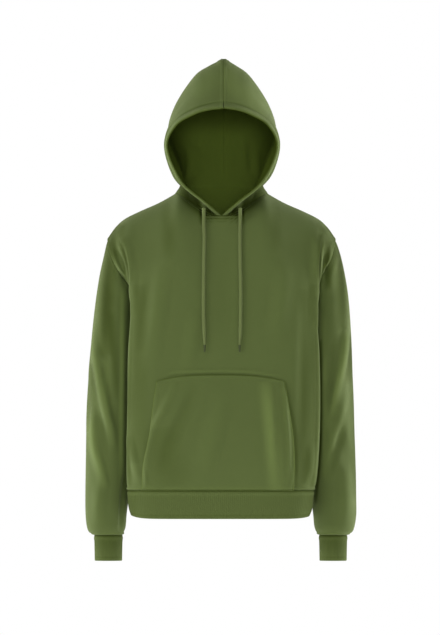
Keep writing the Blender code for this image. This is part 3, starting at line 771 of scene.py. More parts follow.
@dataclass(frozen=True)
class Body:
    """The body's form, shared by its two panels, the hem band and the pocket."""

    levels: tuple[Level, ...] = table(
        Level,
        (-639, 201, 205, -128, -66, 166, 112),
        (-615, 207, 206.5, -131, -68, 167, 114),
        (-550, 212.5, 206.5, -136, -70, 167, 117),
        (-450, 215.5, 205, -138, -70, 166, 117),
        (-340, 213, 203.5, -137, -70, 165, 116),
        (-280, 209, 199.5, -135, -70, 165, 117),
        (-232, 208, 197, -131, -70, 168, 119),
    )
    shoulder: tuple[Station, ...] = table(
        Station,
        (101, 12, 7), (137, 12, -13), (176.5, 12, -30.5), (210, 12, -47.2), (229, 12, -63.5),
        (241.5, 12, -80), (249, 12, -94),
    )

    def level(self, z: float) -> Level:
        """The body's level at a height."""
        row = smooth([level.z for level in self.levels], self.levels, z)[0]
        return Level(*row)

    def front_section(self, side: Side, z: float, marks: Grid) -> Grid:
        """Half of the front's outline at a height, from the middle to the side seam.

        Args:
            side: which half.
            z: the height.
            marks: counted in the outline's stations.

        Returns:
            A point for each mark.
        """
        here = self.level(z)
        edge = here.fold_left if side is Side.LEFT else here.fold_right
        outline = ((0.0, here.front), (0.48 * edge, 0.985 * here.front),
                   (0.8 * edge, here.front + 0.014), (0.955 * edge, here.fold_y - 0.026),
                   (edge, here.fold_y), (edge - 0.011, here.fold_y + 0.03),
                   (here.side, SIDE_PLANE))
        return read_line([(side.value * x, y, z) for x, y in outline], marks)

    def back_section(self, side: Side, z: float, marks: Grid) -> Grid:
        """Half of the back's outline at a height, from the middle to the side seam.

        Args:
            side: which half.
            z: the height.
            marks: counted in the outline's stations.

        Returns:
            A point for each mark.
        """
        here = self.level(z)
        outline = ((0.0, here.back), (0.07, 0.985 * here.back), (0.13, 0.9 * here.back),
                   (here.side + 0.001, 0.68 * here.back), (here.side + 0.009, 0.38 * here.back),
                   (here.side, SIDE_PLANE))
        return read_line([(side.value * x, y, z) for x, y in outline], marks)


BODY = Body()


class ShoulderFold(NamedTuple):
    """A fold from the shoulder into the front's side fold: plain column, width and height."""

    column: float
    width: float
    height: float


@dataclass
class BodyPanel:
    """The front or the back of the body.

    Args:
        name: the piece's name.
        front: whether it is the front.
        shares: of the shoulder seam at the stations past the neck.
        lean: slope of its middle at the neckline.
        creases: laid on it.
        flat: width and length of its cut; not used.
        area: of its cut; not used.
    """

    name: str
    front: bool
    shares: tuple[float, ...]
    lean: Triple
    creases: tuple[Crease, ...]
    flat: Pair
    area: float
    folds: tuple[ShoulderFold, ...] = ()
    pull: float = 1.15
    hold_start: float = 0.45
    low_rows: int = 9
    column_size: float = 0.018
    fine: int = FINE
    low_steps: int = 9
    armhole_size: float = 0.21
    soft_width: float = 2.2
    soft_start: Pair = (0.1, 0.4)
    slope_step: float = 0.005
    rise: float = 0.12
    # The hem seam carries a painted shadow.
    hem_roll: Roll = Roll(0.0018, 0.0018, 0.45)
    side_roll: Roll = Roll(0.0003, 0.0003)
    tip_welt: Bump = Bump(0.001, 0.004, 0.007)
    # Painted shadow under the hood's heavy edge; between the cords, painted shadow above the hood's
    # hem and painted shadow lines along the seam.
    neck_shade: Bump = Bump(0.7, 0.0, 0.018)
    neck_sides: tuple[Pair, ...] = ((0.028, 0.044), (0.104, 0.076))
    neck_end: Pair = (NECK + 1.5, NECK - 0.5)
    cords_in: Pair = (0.039, 0.033)
    hem_of_hood: Pair = (-0.0438, -0.0415)
    between_shade: float = 0.72
    seam_shadows: tuple[Bump, ...] = (Bump(0.55, -0.0474, 0.0013), Bump(0.18, -0.054, 0.0013))

    @property
    def facing(self) -> int:
        """+1 on the front and -1 on the back."""
        return 1 if self.front else -1

    @property
    def last(self) -> int:
        """Plain columns of half the panel."""
        return NECK + STEPS * (len(self.shares) - 1)

    @property
    def branch(self) -> tuple[Station, ...]:
        """The armhole's half on this panel."""
        return ARMHOLE.front if self.front else ARMHOLE.back

    def top(self, side: Side, columns: Grid) -> tuple[Grid, Grid]:
        """Neckline and shoulder seam, and the thickness direction there.

        Args:
            side: the wearer's left or right half.
            columns: plain columns from the middle.

        Returns:
            A point and a direction for each column.
        """
        angle = pi / 2 * np.clip(columns / NECK, 0, 1)
        if not self.front:
            angle = pi - angle
        neck, neck_in = NECKLINE.line(angle), NECKLINE.inward(angle)
        past = np.clip(columns - NECK, 0, None)
        shares = np.interp(past, STEPS * np.arange(len(self.shares)), self.shares)
        seam = measured(BODY.shoulder, shares)
        ahead, behind = (measured(BODY.shoulder, shares + step)
                         for step in (self.slope_step, -self.slope_step))
        slope = ahead - behind
        fall = unit(np.column_stack([slope[:, 2], slope[:, 1] * 0, -slope[:, 0]]))
        on_neck = (columns <= NECK)[:, None]
        return tuple(np.where(on_neck, *pair) * side.mirror
                     for pair in ((neck, seam), (neck_in, fall)))

    def half(self, side: Side, columns: Grid, heights: Grid, shares: Grid) -> Grid:
        """Outer points of half the panel, from the hem seam to the top.

        Args:
            side: the wearer's left or right half.
            columns: plain columns from the middle.
            heights: rows up to the underarm.
            shares: rows from there to the top, as shares.

        Returns:
            Rows and columns of points.
        """
        section = BODY.front_section if self.front else BODY.back_section
        marks = columns / STEPS
        lower = np.array([section(side, z, marks) for z in heights])
        base = lower[-1]
        step = (UNDERARM_Z - HEM_SEAM_Z) / self.low_rows
        climb = (base - section(side, UNDERARM_Z - step, marks)) / step
        edge, _ = self.top(side, columns)
        reach = np.linalg.norm(edge - base, axis=1, keepdims=True)
        turn = ease(0, NECK, columns)[:, None]
        over = np.array([0.0, self.facing, self.rise])
        lean = unit(blend(np.array(self.lean), over, turn))
        start, end = climb * reach, lean * reach * self.pull
        hole = ARMHOLE.line(self.branch, shares) * side.mirror
        hold = ease(self.hold_start, 1, columns / self.last)[:, None]
        swell = sum(row.height * bell(columns, row.column, row.width) for row in self.folds) \
            * np.clip((self.last - columns) / 2, 0, 1)
        rows = []
        for t, seam in zip(shares, hole):
            points = arch(base, edge - base, start, end, t)
            points = points + hold * (seam - points[-1])
            points[:, 1] -= np.sin(pi * t) * swell
            rows.append(points)
        return np.vstack([lower, rows])

    @staticmethod
    def soften(grid: Grid, share: Grid, rounds: int = 40) -> None:
        """Ease a grid's inner points toward their neighbours.

        Args:
            grid: rows and columns of points, changed in place.
            share: how far each point moves in a round.
            rounds: how often.
        """
        for _ in range(rounds):
            around = (grid[:-2, 1:-1] + grid[2:, 1:-1] + grid[1:-1, :-2] + grid[1:-1, 2:]) / 4
            grid[1:-1, 1:-1] += (around - grid[1:-1, 1:-1]) * share[1:-1, 1:-1, None]

    def cloth(self) -> Cloth:
        """The whole panel, from the wearer's right to the left."""
        columns = with_extra(evenly(self.last, self.fine), self.column_size, False, True)
        heights = with_extra(np.linspace(HEM_SEAM_Z, UNDERARM_Z,
                                         self.low_rows * self.low_steps + 1),
                             1.0, True, False)
        shares = with_extra(evenly(1, ARM * FINE), self.armhole_size, False, True)[1:]
        halves = {side: self.half(side, columns, heights, shares) for side in Side}
        outer = np.concatenate([halves[Side.RIGHT][:, :0:-1], halves[Side.LEFT]], axis=1)
        middle, low = len(columns) - 1, len(heights)
        across = np.concatenate([columns[:0:-1], columns])
        self.soften(outer, bell(across, NECK, self.soft_width)[None, :]
                    * np.concatenate([np.zeros(low), ease(*self.soft_start, shares)])[:, None])
        inward = -grid_normals(outer, False) * self.facing
        near_side = np.clip(columns - self.last + 1, 0, 1)
        near_top = np.clip(1 - (1 - shares) * ARM, 0, 1)
        into_hole = ARMHOLE.inward(self.branch, np.concatenate([[0], shares]))
        for side in Side:
            part = np.s_[:, middle:] if side is Side.LEFT else np.s_[:, middle::-1]
            half = inward[part]
            mirror = np.array(side.mirror)
            seam = np.zeros((len(outer), 3))
            seam[:low] = (-1, 0, 0)
            seam[low:] = into_hole[1:]
            half[:] = blend(half, (seam * mirror)[:, None], ease(0, 1, near_side)[None, :, None])
            _, top = self.top(side, columns)
            top[-1] = into_hole[-1] * mirror
            half[low:] = blend(half[low:], top[None], ease(0, 1, near_top)[:, None, None])
        inward[0, :, 2] = 0.0
        made = Cloth(self.name, outer, unit(inward))
        made.crease(self.creases)
        made.roll(Rim.BOTTOM, self.hem_roll)
        tip = ease(*TIP_RANGE, made.places[2])
        for rim in (Rim.START, Rim.END):
            made.roll(rim, self.side_roll)
            made.lift(tip * self.tip_welt.on(made.distance(rim)))
        if self.front:
            self.shade_neck(made, across)
        return made

    def shade_neck(self, made: Cloth, columns: Grid) -> None:
        """Paint shadow on the cloth under the hood's heavy edge, and shadow lines along its seam
        between the cords.

        Args:
            made: the panel.
            columns: plain columns from the middle, all across.
        """
        x, _, height = made.places
        across = np.abs(x)
        on_neck = ease(*self.neck_end, columns)[None]
        # Painted shadow under the hood's edge, then between the cords with painted seam shadow
        # lines.
        made.hollow += self.neck_shade.on(made.distance(Rim.TOP)) * on_neck \
            * within(self.neck_sides, across, across)
        made.hollow += ease(*self.cords_in, across) * on_neck \
            * (self.between_shade * ease(*self.hem_of_hood, height)
               + sum(line.on(height) for line in self.seam_shadows))


# ---------------------------------------------------------------- sleeves and bands

class SleeveRing(NamedTuple):
    """A ring of a sleeve: its outer and inner edge on each side, middle and half depth."""

    outer_left: float
    outer_right: float
    outer_z: float
    inner_left: float
    inner_right: float
    inner_z: float
    mid_y: float
    half_depth: float


class SleeveFold(NamedTuple):
    """A soft fold round a sleeve: heights and angles of its ends, height and half-width."""

    side: int
    start_z: float
    end_z: float
    start_angle: float
    end_angle: float
    height: float
    half_width: float


@dataclass
class Sleeve:
    """A sleeve, from its dropped armhole to the seam of its cuff."""

    side: Side
    creases: tuple[Crease, ...]
    flat: Pair = (0.44, 0.66)
    area: float = 0.205
    rings: tuple[SleeveRing, ...] = table(
        SleeveRing,
        (249, 249, -94, 168, 168, -232, 17, 67),
        (260, 256.5, -128, 173.5, 173.5, -250, 21, 71),
        (269, 265.5, -168, 178, 178, -272, 25, 74),
        (276.5, 273, -215, 181, 181, -298, 24, 76),
        (281, 279.5, -268, 183, 183, -328, 22, 76),
        (284, 285, -325, 184, 184, -362, 20, 74),
        (286, 290.5, -385, 184.5, 184.5, -402, 18, 71),
        (288.5, 294, -445, 185, 185, -452, 15, 68),
        (290, 295, -505, 186, 186.5, -508, 11, 64),
        (291.8, 295.7, -560, 188, 190, -560, 7, 59),
        (293.2, 296.5, -610, 191, 196, -610, 3, 54),
        (293.8, 297, -655, 195, 202, -655, 0, 50),
        (294, 296.5, -690, 199.5, 206.5, -690, -2, 47),
        (290.5, 294, -716, 202, 208.5, -716, -4, 44),
        (285, 289, -730, 206.5, 212.5, -730, -4, 38),
        (274, 277.5, -737, 212.5, 215.5, -737, -4, 31),
    )
    folds: tuple[SleeveFold, ...] = (
        SleeveFold(-1, -0.32, -0.54, 0.55, 1.75, 0.0045, 0.03),
        SleeveFold(-1, -0.38, -0.6, 0.05, 0.85, -0.0045, 0.03),
        SleeveFold(1, -0.27, -0.47, 0.5, 1.2, 0.0045, 0.03),
        SleeveFold(1, -0.44, -0.6, 1.6, 0.8, -0.005, 0.032),
        SleeveFold(-1, -0.3, -0.52, 4.1, 5.2, -0.0045, 0.032),
        SleeveFold(1, -0.33, -0.56, 5.2, 4.3, -0.0045, 0.032),
    )
    head_roll: Roll = Roll(0.0003, 0.0003)
    # The cuff seam carries a painted shadow.
    cuff_roll: Roll = Roll(0.0016, 0.0014, 0.35)
    tip_dip: Bump = Bump(-0.0016, 0.0, 0.006)
    hold: tuple[float, ...] = (1.0, 0.62, 0.28, 0.08, 0.0)
    ring_size: float = 0.045

    def edges(self, ring: SleeveRing) -> Pair:
        """Outer and inner x of a ring on this side.

        Args:
            ring: of the sleeve.

        Returns:
            The two, as distances from the middle.
        """
        if self.side is Side.LEFT:
            return ring.outer_left, ring.inner_left
        return ring.outer_right, ring.inner_right

    def ring(self, mark: float, angle: Grid) -> Grid:
        """Points round the sleeve, before the armhole's pull.

        Args:
            mark: place along the sleeve, counted in rings.
            angle: round it, from its outer edge over the front.

        Returns:
            A point for each angle.
        """
        here = SleeveRing(*read_line(self.rings, mark)[0])
        outer_x, inner_x = self.edges(here)
        share = (1 - np.cos(angle)) / 2
        x = outer_x + (inner_x - outer_x) * share
        z = here.outer_z + (here.inner_z - here.outer_z) * share
        y = here.mid_y - here.half_depth * np.sin(angle)
        lift = self.fold_lift(angle, z, here.half_depth)
        return np.column_stack([self.side.value * (x + lift * np.cos(angle)),
                                y - lift * np.sin(angle), z])

    def fold_lift(self, angle: Grid, z: Grid, radius: float) -> Grid:
        """How far the sleeve's folds move its points out.

        Args:
            angle: of each point round the sleeve.
            z: its height.
            radius: of the sleeve there.

        Returns:
            A length for each point.
        """
        lift = np.zeros_like(angle)
        for fold in self.folds:
            if fold.side != self.side.value:
                continue
            share = (z - fold.start_z) / (fold.end_z - fold.start_z)
            middle = fold.start_angle + (fold.end_angle - fold.start_angle) * share
            away = np.abs((angle - middle + pi) % (2 * pi) - pi) * radius / fold.half_width
            on = (share > 0) & (share < 1) & (away < 1)
            lift += np.where(on, fold.height * np.sin(pi * np.clip(share, 0, 1))
                             * (1 + np.cos(pi * np.clip(away, 0, 1))) / 2, 0.0)
        return lift

    def cloth(self) -> Cloth:
        """The sleeve as a tube."""
        angle = 2 * pi * np.arange(2 * ARM * FINE) / (2 * ARM * FINE)
        last = len(self.rings) - 1
        marks = with_extra(evenly(last, FINE), self.ring_size, True, False)
        mirror = self.side.mirror
        front = angle <= pi
        ahead, behind = 1 - angle / pi, angle / pi - 1
        hole = np.where(front[:, None], ARMHOLE.line(ARMHOLE.front, ahead),
                        ARMHOLE.line(ARMHOLE.back, behind)) * mirror
        into = np.where(front[:, None], ARMHOLE.inward(ARMHOLE.front, np.clip(ahead, 0, 1)),
                        ARMHOLE.inward(ARMHOLE.back, np.clip(behind, 0, 1))) * mirror
        stray = hole - self.ring(0.0, angle)
        keep = np.interp(marks, np.arange(len(self.hold)), self.hold)
        outer = np.array([self.ring(mark, angle) + stray * share
                          for mark, share in zip(marks, keep)])
        toward = outer.mean(axis=1, keepdims=True) - outer
        inward = turned(grid_normals(outer, True), toward)
        inward = blend(inward, into[None], ease(0, 1, 1 - marks)[:, None, None])
        inward = unit(blend(inward, unit(toward * (1, 1, 0)),
                            ease(0, 1, marks - last + 1)[:, None, None]))
        made = Cloth("sleeve_" + self.side.word + "_jersey", outer, inward, ring=True)
        made.crease(self.creases)
        made.roll(Rim.BOTTOM, self.head_roll)
        made.lift(ease(*TIP_RANGE, made.places[2]) * self.tip_dip.on(made.distance(Rim.BOTTOM)))
        made.roll(Rim.TOP, self.cuff_roll)
        return made


@dataclass
class Band:
    """A ribbed band with a folded edge, closed into a ring.

    Args:
        ribs: how many go round.
        rib_points: grid columns on each of them.
        rows: even rows from its edge to its seam.
        area: of its cut, where its length and height don't give it; not used.
    """

    ribs: int
    rib_points: int
    rows: int
    area: float | None = None
    rib_height: float = 0.0006
    rib_round: float = 0.6
    rib_fade: Pair = (0.0005, 0.0035)
    wall: float = 0.0026
    swell: Bump = Bump(0.0008, 0.007, 0.0035)
    # Painted shadow at the seam and a painted highlight on the ridge below it; painted shadow lines
    # at the folded edge.
    seam_shades: tuple[Bump, ...] = (Bump(0.42, 0.0, 0.0022), Bump(-0.1, 0.007, 0.003))
    edge_shades: tuple[Bump, ...] = (Bump(0.16, 0.0068, 0.0014), Bump(0.08, 0.0, 0.003))

    @property
    def count(self) -> int:
        """Grid columns round the band."""
        return self.ribs * self.rib_points

    def levels(self, low: float, high: float) -> Grid:
        """Heights of the grid's rows."""
        return with_extra(np.linspace(low, high, self.rows), 1.0, True, True)

    def raise_ribs(self, made: Cloth, share: Grid) -> None:
        """Raise upright ribs, fading into both edges, and paint shadow and highlight beside the
        seam and shadow lines at the fold.

        Args:
            made: the band's cloth.
            share: of the way round at each column.
        """
        wave = np.abs(np.sin(pi * self.ribs * share))**self.rib_round - 1
        low, high = made.distance(Rim.BOTTOM), made.distance(Rim.TOP)
        made.lift(self.rib_height * wave[None] * ease(*self.rib_fade, np.minimum(low, high)))
        made.lift(self.swell.on(high))
        # Painted shadow and highlight by the seam, painted shadow lines at the fold.
        made.hollow += sum(shade.on(high) for shade in self.seam_shades) \
            + sum(shade.on(low) for shade in self.edge_shades)


@dataclass
class Cuff(Band):
    """The ribbed cuff under a sleeve."""

    sleeve: Sleeve | None = None
    ribs: int = 60
    rib_points: int = 6
    rows: int = 22
    heights: tuple[float, ...] = (CUFF_Z, -0.76, CUFF_SEAM_Z)
    scales: tuple[float, ...] = (0.965, 0.985, 1.0)
    # Painted shadow under the sleeve's overhang, darkest at the seam.
    shadow: float = 0.3
    shadow_below: float = 0.02
    flat: Pair = (0.2, 0.056)

    def cloth(self) -> Cloth:
        """The cuff as a ribbed tube."""
        last = self.sleeve.rings[-1]
        outer_x, inner_x = self.sleeve.edges(last)
        middle, half = (outer_x + inner_x) / 2, (outer_x - inner_x) / 2
        angle = 2 * pi * np.arange(self.count) / self.count
        levels = self.levels(CUFF_Z, CUFF_SEAM_Z)
        scale = np.interp(levels, self.heights, self.scales)[:, None]
        outer = np.stack([
            self.sleeve.side.value * (middle + half * scale * np.cos(angle)),
            last.mid_y - last.half_depth * scale * np.sin(angle),
            np.repeat(levels[:, None], self.count, axis=1),
        ], axis=-1)
        inward = unit((outer.mean(axis=1, keepdims=True) - outer) * (1, 1, 0))
        made = Cloth("cuff_" + self.sleeve.side.word + "_rib", outer, inward, self.wall, ring=True)
        self.raise_ribs(made, angle / (2 * pi))
        # Painted shadow, darker up toward the seam.
        made.hollow += self.shadow * ease(CUFF_Z - self.shadow_below, CUFF_SEAM_Z, made.places[2])
        return made


@dataclass
class HemBand(Band):
    """The ribbed band round the bottom of the body."""

    ribs: int = 260
    rib_points: int = 4
    rows: int = 20
    drawn_left: float = 0.04
    drawn_right: float = 0.03
    taper_x: float = 0.012
    taper_y: float = 0.02
    corner_x: float = 0.2
    corner_lift: float = 0.008
    corner_power: int = 12
    # Painted shade on the band's front, stronger toward its corners.
    front_shade: float = 0.06
    front_reach: float = 0.02
    corner_shade: float = 4.5
    corner_start: float = 0.168
    corner_end: float = 0.2
    line_steps: int = 8
    flat: Pair = (1.16, 0.061)

    def ring(self, height: float, count: int) -> Grid:
        """The band's outline at a height, its bottom corners drawn in and lifted.

        Args:
            height: of the outline before its corners are lifted.
            count: points wanted.

        Returns:
            The points, all round.
        """
        ahead, behind = (evenly(spans, STEPS) for spans in (6, 5))
        loop = np.vstack([
            BODY.front_section(Side.RIGHT, HEM_SEAM_Z, ahead)[::-1],
            BODY.front_section(Side.LEFT, HEM_SEAM_Z, ahead)[1:],
            BODY.back_section(Side.LEFT, HEM_SEAM_Z, behind)[-2::-1],
            BODY.back_section(Side.RIGHT, HEM_SEAM_Z, behind)[1:],
        ])
        last = len(loop) - 1
        fine = read_line(loop, evenly(last, self.line_steps))
        points = at_length(fine, np.linspace(0, travel(fine)[-1], count + 1)[:-1])
        depth = (HEM_SEAM_Z - height) / (HEM_SEAM_Z - HEM_Z)
        drawn = np.where(points[:, 0] > 0, self.drawn_left, self.drawn_right)
        points[:, 0] *= 1 - self.taper_x * depth - drawn * depth**4
        points[:, 1] *= 1 - self.taper_y * depth
        corner = (np.abs(points[:, 0]) / self.corner_x)**self.corner_power
        points[:, 2] = height + self.corner_lift * corner * depth**2
        return points

    def cloth(self) -> Cloth:
        """The band as a ribbed tube."""
        outer = np.array([self.ring(z, self.count) for z in self.levels(HEM_Z, HEM_SEAM_Z)])
        inward = turned(grid_normals(outer, True), outer.mean(axis=1, keepdims=True) - outer)
        made = Cloth("hem_band_rib", outer, unit(inward * (1, 1, 0)), self.wall, ring=True)
        self.raise_ribs(made, np.arange(self.count) / self.count)
        x, y, _ = made.places
        # Painted shade on the front, stronger toward the corners.
        corner = ease(self.corner_start, self.corner_end, np.abs(x))
        made.hollow += self.front_shade * (1 + self.corner_shade * corner) \
            * ease(self.front_reach, -self.front_reach, y)
        return made


# ---------------------------------------------------------------- hood

class HoodLevel(NamedTuple):
    """A level of the hood from the neckline up: the face edge, the side and the back."""

    rim_x: float
    rim_y: float
    rim_z: float
    side_x: float
    side_y: float
    side_z: float
    back_y: float
    back_z: float
    flare: float


@dataclass
class HoodHalf:
    """One half of the hood, with the casing along its face edge."""

    side: Side
    creases: tuple[Crease, ...]
    levels: tuple[HoodLevel, ...] = table(
        HoodLevel,
        (0, -88, -41, 101, 12, 7, 80, 22, 0),
        (34, -106, -14, 89.5, 11, 31, 88, 56, 7.5),
        (88, -101, 33, 95, 12, 78, 106, 100, 17),
        (120.5, -90, 106, 118, 14, 138, 123, 150, 6.5),
        (101.5, -100, 154.5, 103.5, 12, 198, 126, 196, 4),
        (62, -113, 179, 62, 8, 262, 117, 234, 1.5),
        (31, -119.5, 188.8, 30, 5, 286, 110, 248, 0.5),
        (0, -121.5, 192.5, 0, 3, 301, 103, 258, 0),
    )
    middle: Triple = (0.0, 0.012, 0.12)
    lean: float = 0.0012
    seam_lean: Bump = Bump(0.0033, 0.0, 0.035)
    lean_start: float = 0.024
    lean_run: float = 0.03
    flare_share: float = 0.5
    casing: float = 0.0042
    casing_end: Pair = (0.022, 0.017)
    neck_edge: Pair = (0.0, 0.02)
    # Each seam carries a faint painted shadow.
    seam_roll: Roll = Roll(0.0007, 0.0, 0.07, 0.0012)
    back_roll: Roll = Roll(0.0006, 0.0, 0.07, 0.0012)
    groove: Bump = Bump(0.0014, 0.019, 0.0016)
    beside: Bump = Bump(0.0006, 0.0232, 0.0024)
    bead_width: float = 0.0105
    bead_height: float = 0.0026
    bead_power: float = 0.8
    bead_start: Pair = (0.0, 0.01)
    bead_low: float = 0.45
    tuck: float = 0.01
    tuck_ranges: tuple[Pair, ...] = ((0.0095, 0.0155), (0.06, 0.026), (0.002, 0.014))
    low_fade: Pair = (0.06, 0.02)
    # Painted shadow under the bead on the low front: less toward the middle, a little less on the
    # wearer's left, and less beside the cord exits.
    under_shade: float = 0.8
    under_ranges: tuple[Pair, ...] = ((0.0095, 0.0135), (0.056, 0.018))
    under_side: Pair = (0.104, 0.07)
    under_least: float = 0.25
    under_share_left: float = 0.92
    slit_light: Bump = Bump(0.8, 0.0395, 0.0055)
    # Painted shadow in the casing's seam, and painted highlights beside that seam and on the bead.
    groove_shade: float = 0.4
    beside_light: float = 0.14
    bead_light: float = 0.16
    bead_light_range: Pair = (0.012, 0.004)
    # Where the inside is painted lighter: further back, lower and nearer the middle.
    deep_ranges: tuple[Pair, ...] = ((-0.01, 0.09), (0.197, 0.115), (0.122, 0.05))
    peak: Bump = Bump(0.0022, 0.0085, 0.0065)
    peak_range: Pair = (0.27, 0.298)
    column_size: float = 0.018
    level_size: float = 0.055
    flat: Pair = (0.29, 0.4)
    area: float = 0.09

    def track(self, level: HoodLevel, columns: Grid) -> Grid:
        """A level's points from the face edge over the side to the back.

        Args:
            level: the level.
            columns: plain columns from the face edge.

        Returns:
            A point for each column.
        """
        u = np.clip(columns / NECK, 0, 1)
        ahead = np.column_stack([
            level.rim_x + (level.side_x - level.rim_x) * np.sin(u * pi / 2)
            + level.flare * np.sin(pi * np.minimum(1.0, u / self.flare_share)),
            level.rim_y + (level.side_y - level.rim_y) * u,
            level.rim_z + (level.side_z - level.rim_z) * (u + u**2 - u**3),
        ])
        angle = pi / 2 * np.clip(columns / NECK - 1, 0, 1)
        behind = np.column_stack([
            level.side_x * np.cos(angle),
            level.side_y + (level.back_y - level.side_y) * np.sin(angle),
            level.side_z + (level.back_z - level.side_z) * (1 - np.cos(angle)),
        ])
        return np.where((columns <= NECK)[:, None], ahead, behind)

    def cloth(self) -> Cloth:
        """The half hood, from the neckline to the centre seam."""
        columns = with_extra(evenly(2 * NECK, FINE), self.column_size, True, True)
        last = len(self.levels) - 1
        marks = with_extra(evenly(last, STEPS * FINE), self.level_size, True, True)
        angle = pi / 2 * columns / NECK
        lines = [NECKLINE.line(angle)] + [self.track(level, columns) for level in self.levels[1:]]
        outer = read_line(np.array(lines).reshape(last + 1, -1), marks)
        outer = outer.reshape(len(marks), len(columns), 3)
        outer[:, -1, 0] = 0.0
        inward = turned(grid_normals(outer, False), np.array(self.middle) - outer)
        seam = np.vstack([outer[-1], outer[-2::-1, -1]])
        across = unit(np.gradient(seam, axis=0)[:, [0, 2, 1]] * (0, -1, 1))
        across[(across * (np.array(self.middle) - seam)).sum(axis=1) < 0] *= -1
        width = len(columns)
        sides = (
            (ease(0, 1, columns - 2 * NECK + 1)[None, :, None], across[:width - 2:-1][:, None]),
            (ease(0, 1, (marks - last) * STEPS + 1)[:, None, None], across[:width][None]),
            (ease(0, 1, 1 - marks * STEPS)[:, None, None], NECKLINE.inward(angle)[None]),
        )
        for weight, wanted in sides:
            inward = unit(blend(inward, wanted, weight))
        outer[:, :, 0] = np.maximum(outer[:, :, 0], 0.0)
        mirror = self.side.mirror
        outer, inward = outer * mirror, inward * mirror
        lean = self.lean + self.seam_lean.on(outer[:, :, 0])
        outer[:, :, 0] += lean * np.clip((outer[:, :, 2] - self.lean_start) / self.lean_run, 0, 1)
        made = Cloth("hood_" + self.side.word + "_jersey", outer, inward)
        from_rim = made.distance(Rim.START)
        low_edge = ease(*self.neck_edge, made.distance(Rim.BOTTOM))
        made.thickness = CLOTH + (self.casing - CLOTH) * low_edge * ease(*self.casing_end, from_rim)
        made.crease(self.creases)
        self.bead(made, from_rim)
        made.lift(ease(*self.peak_range, made.places[2]) * self.peak.on(made.distance(Rim.TOP)))
        made.roll(Rim.TOP, self.seam_roll)
        made.roll(Rim.END, self.back_roll)
        return made

    def bead(self, made: Cloth, from_rim: Grid) -> None:
        """Round the face edge into a bead, tuck the cloth under it, and sew its casing; paint
        shadow under the bead and in the casing's seam, and highlights beside that seam and on the
        bead.

        Args:
            made: the half hood.
            from_rim: distance from the face edge over the cloth.
        """
        across, height = np.abs(made.places[0]), made.places[2]
        low = ease(*self.low_fade, height)
        from_neck = made.distance(Rim.BOTTOM)
        swell = np.sin(pi * np.clip(from_rim / self.bead_width, 0, 1))**self.bead_power
        made.lift(self.bead_height * swell * ease(*self.bead_start, from_neck)
                  * (self.bead_low + (1 - self.bead_low) * low))
        made.outer[:, :, 1] += self.tuck * low \
            * within(self.tuck_ranges, from_rim, from_rim, from_neck)
        groove, beside = (form.on(from_rim) * (1 - low) for form in (self.groove, self.beside))
        made.lift(beside - groove)
        # Painted shadow under the bead, less toward the middle and beside the cord exits.
        middle = self.under_least + (1 - self.under_least) * ease(*self.under_side, across)
        below = within(self.under_ranges, from_rim, height) * middle \
            * (1 - self.slit_light.on(across))
        if self.side is Side.LEFT:
            below *= self.under_share_left
        # Painted shadow under the bead and in the casing's seam, painted highlights beside the seam
        # and on the bead.
        made.hollow += self.under_shade * below \
            + self.groove_shade * groove / self.groove.height \
            - self.beside_light * beside / self.beside.height \
            - self.bead_light * swell * ease(*self.bead_light_range, from_rim)
        # How deep inside each point lies, which the inside's painted shade and light follow.
        made.deep = within(self.deep_ranges, made.places[1], height, across)


# ---------------------------------------------------------------- pocket

class PocketEdge(NamedTuple):
    """Half-widths of the pocket on the wearer's left and right at a height."""

    z: float
    left: float
    right: float


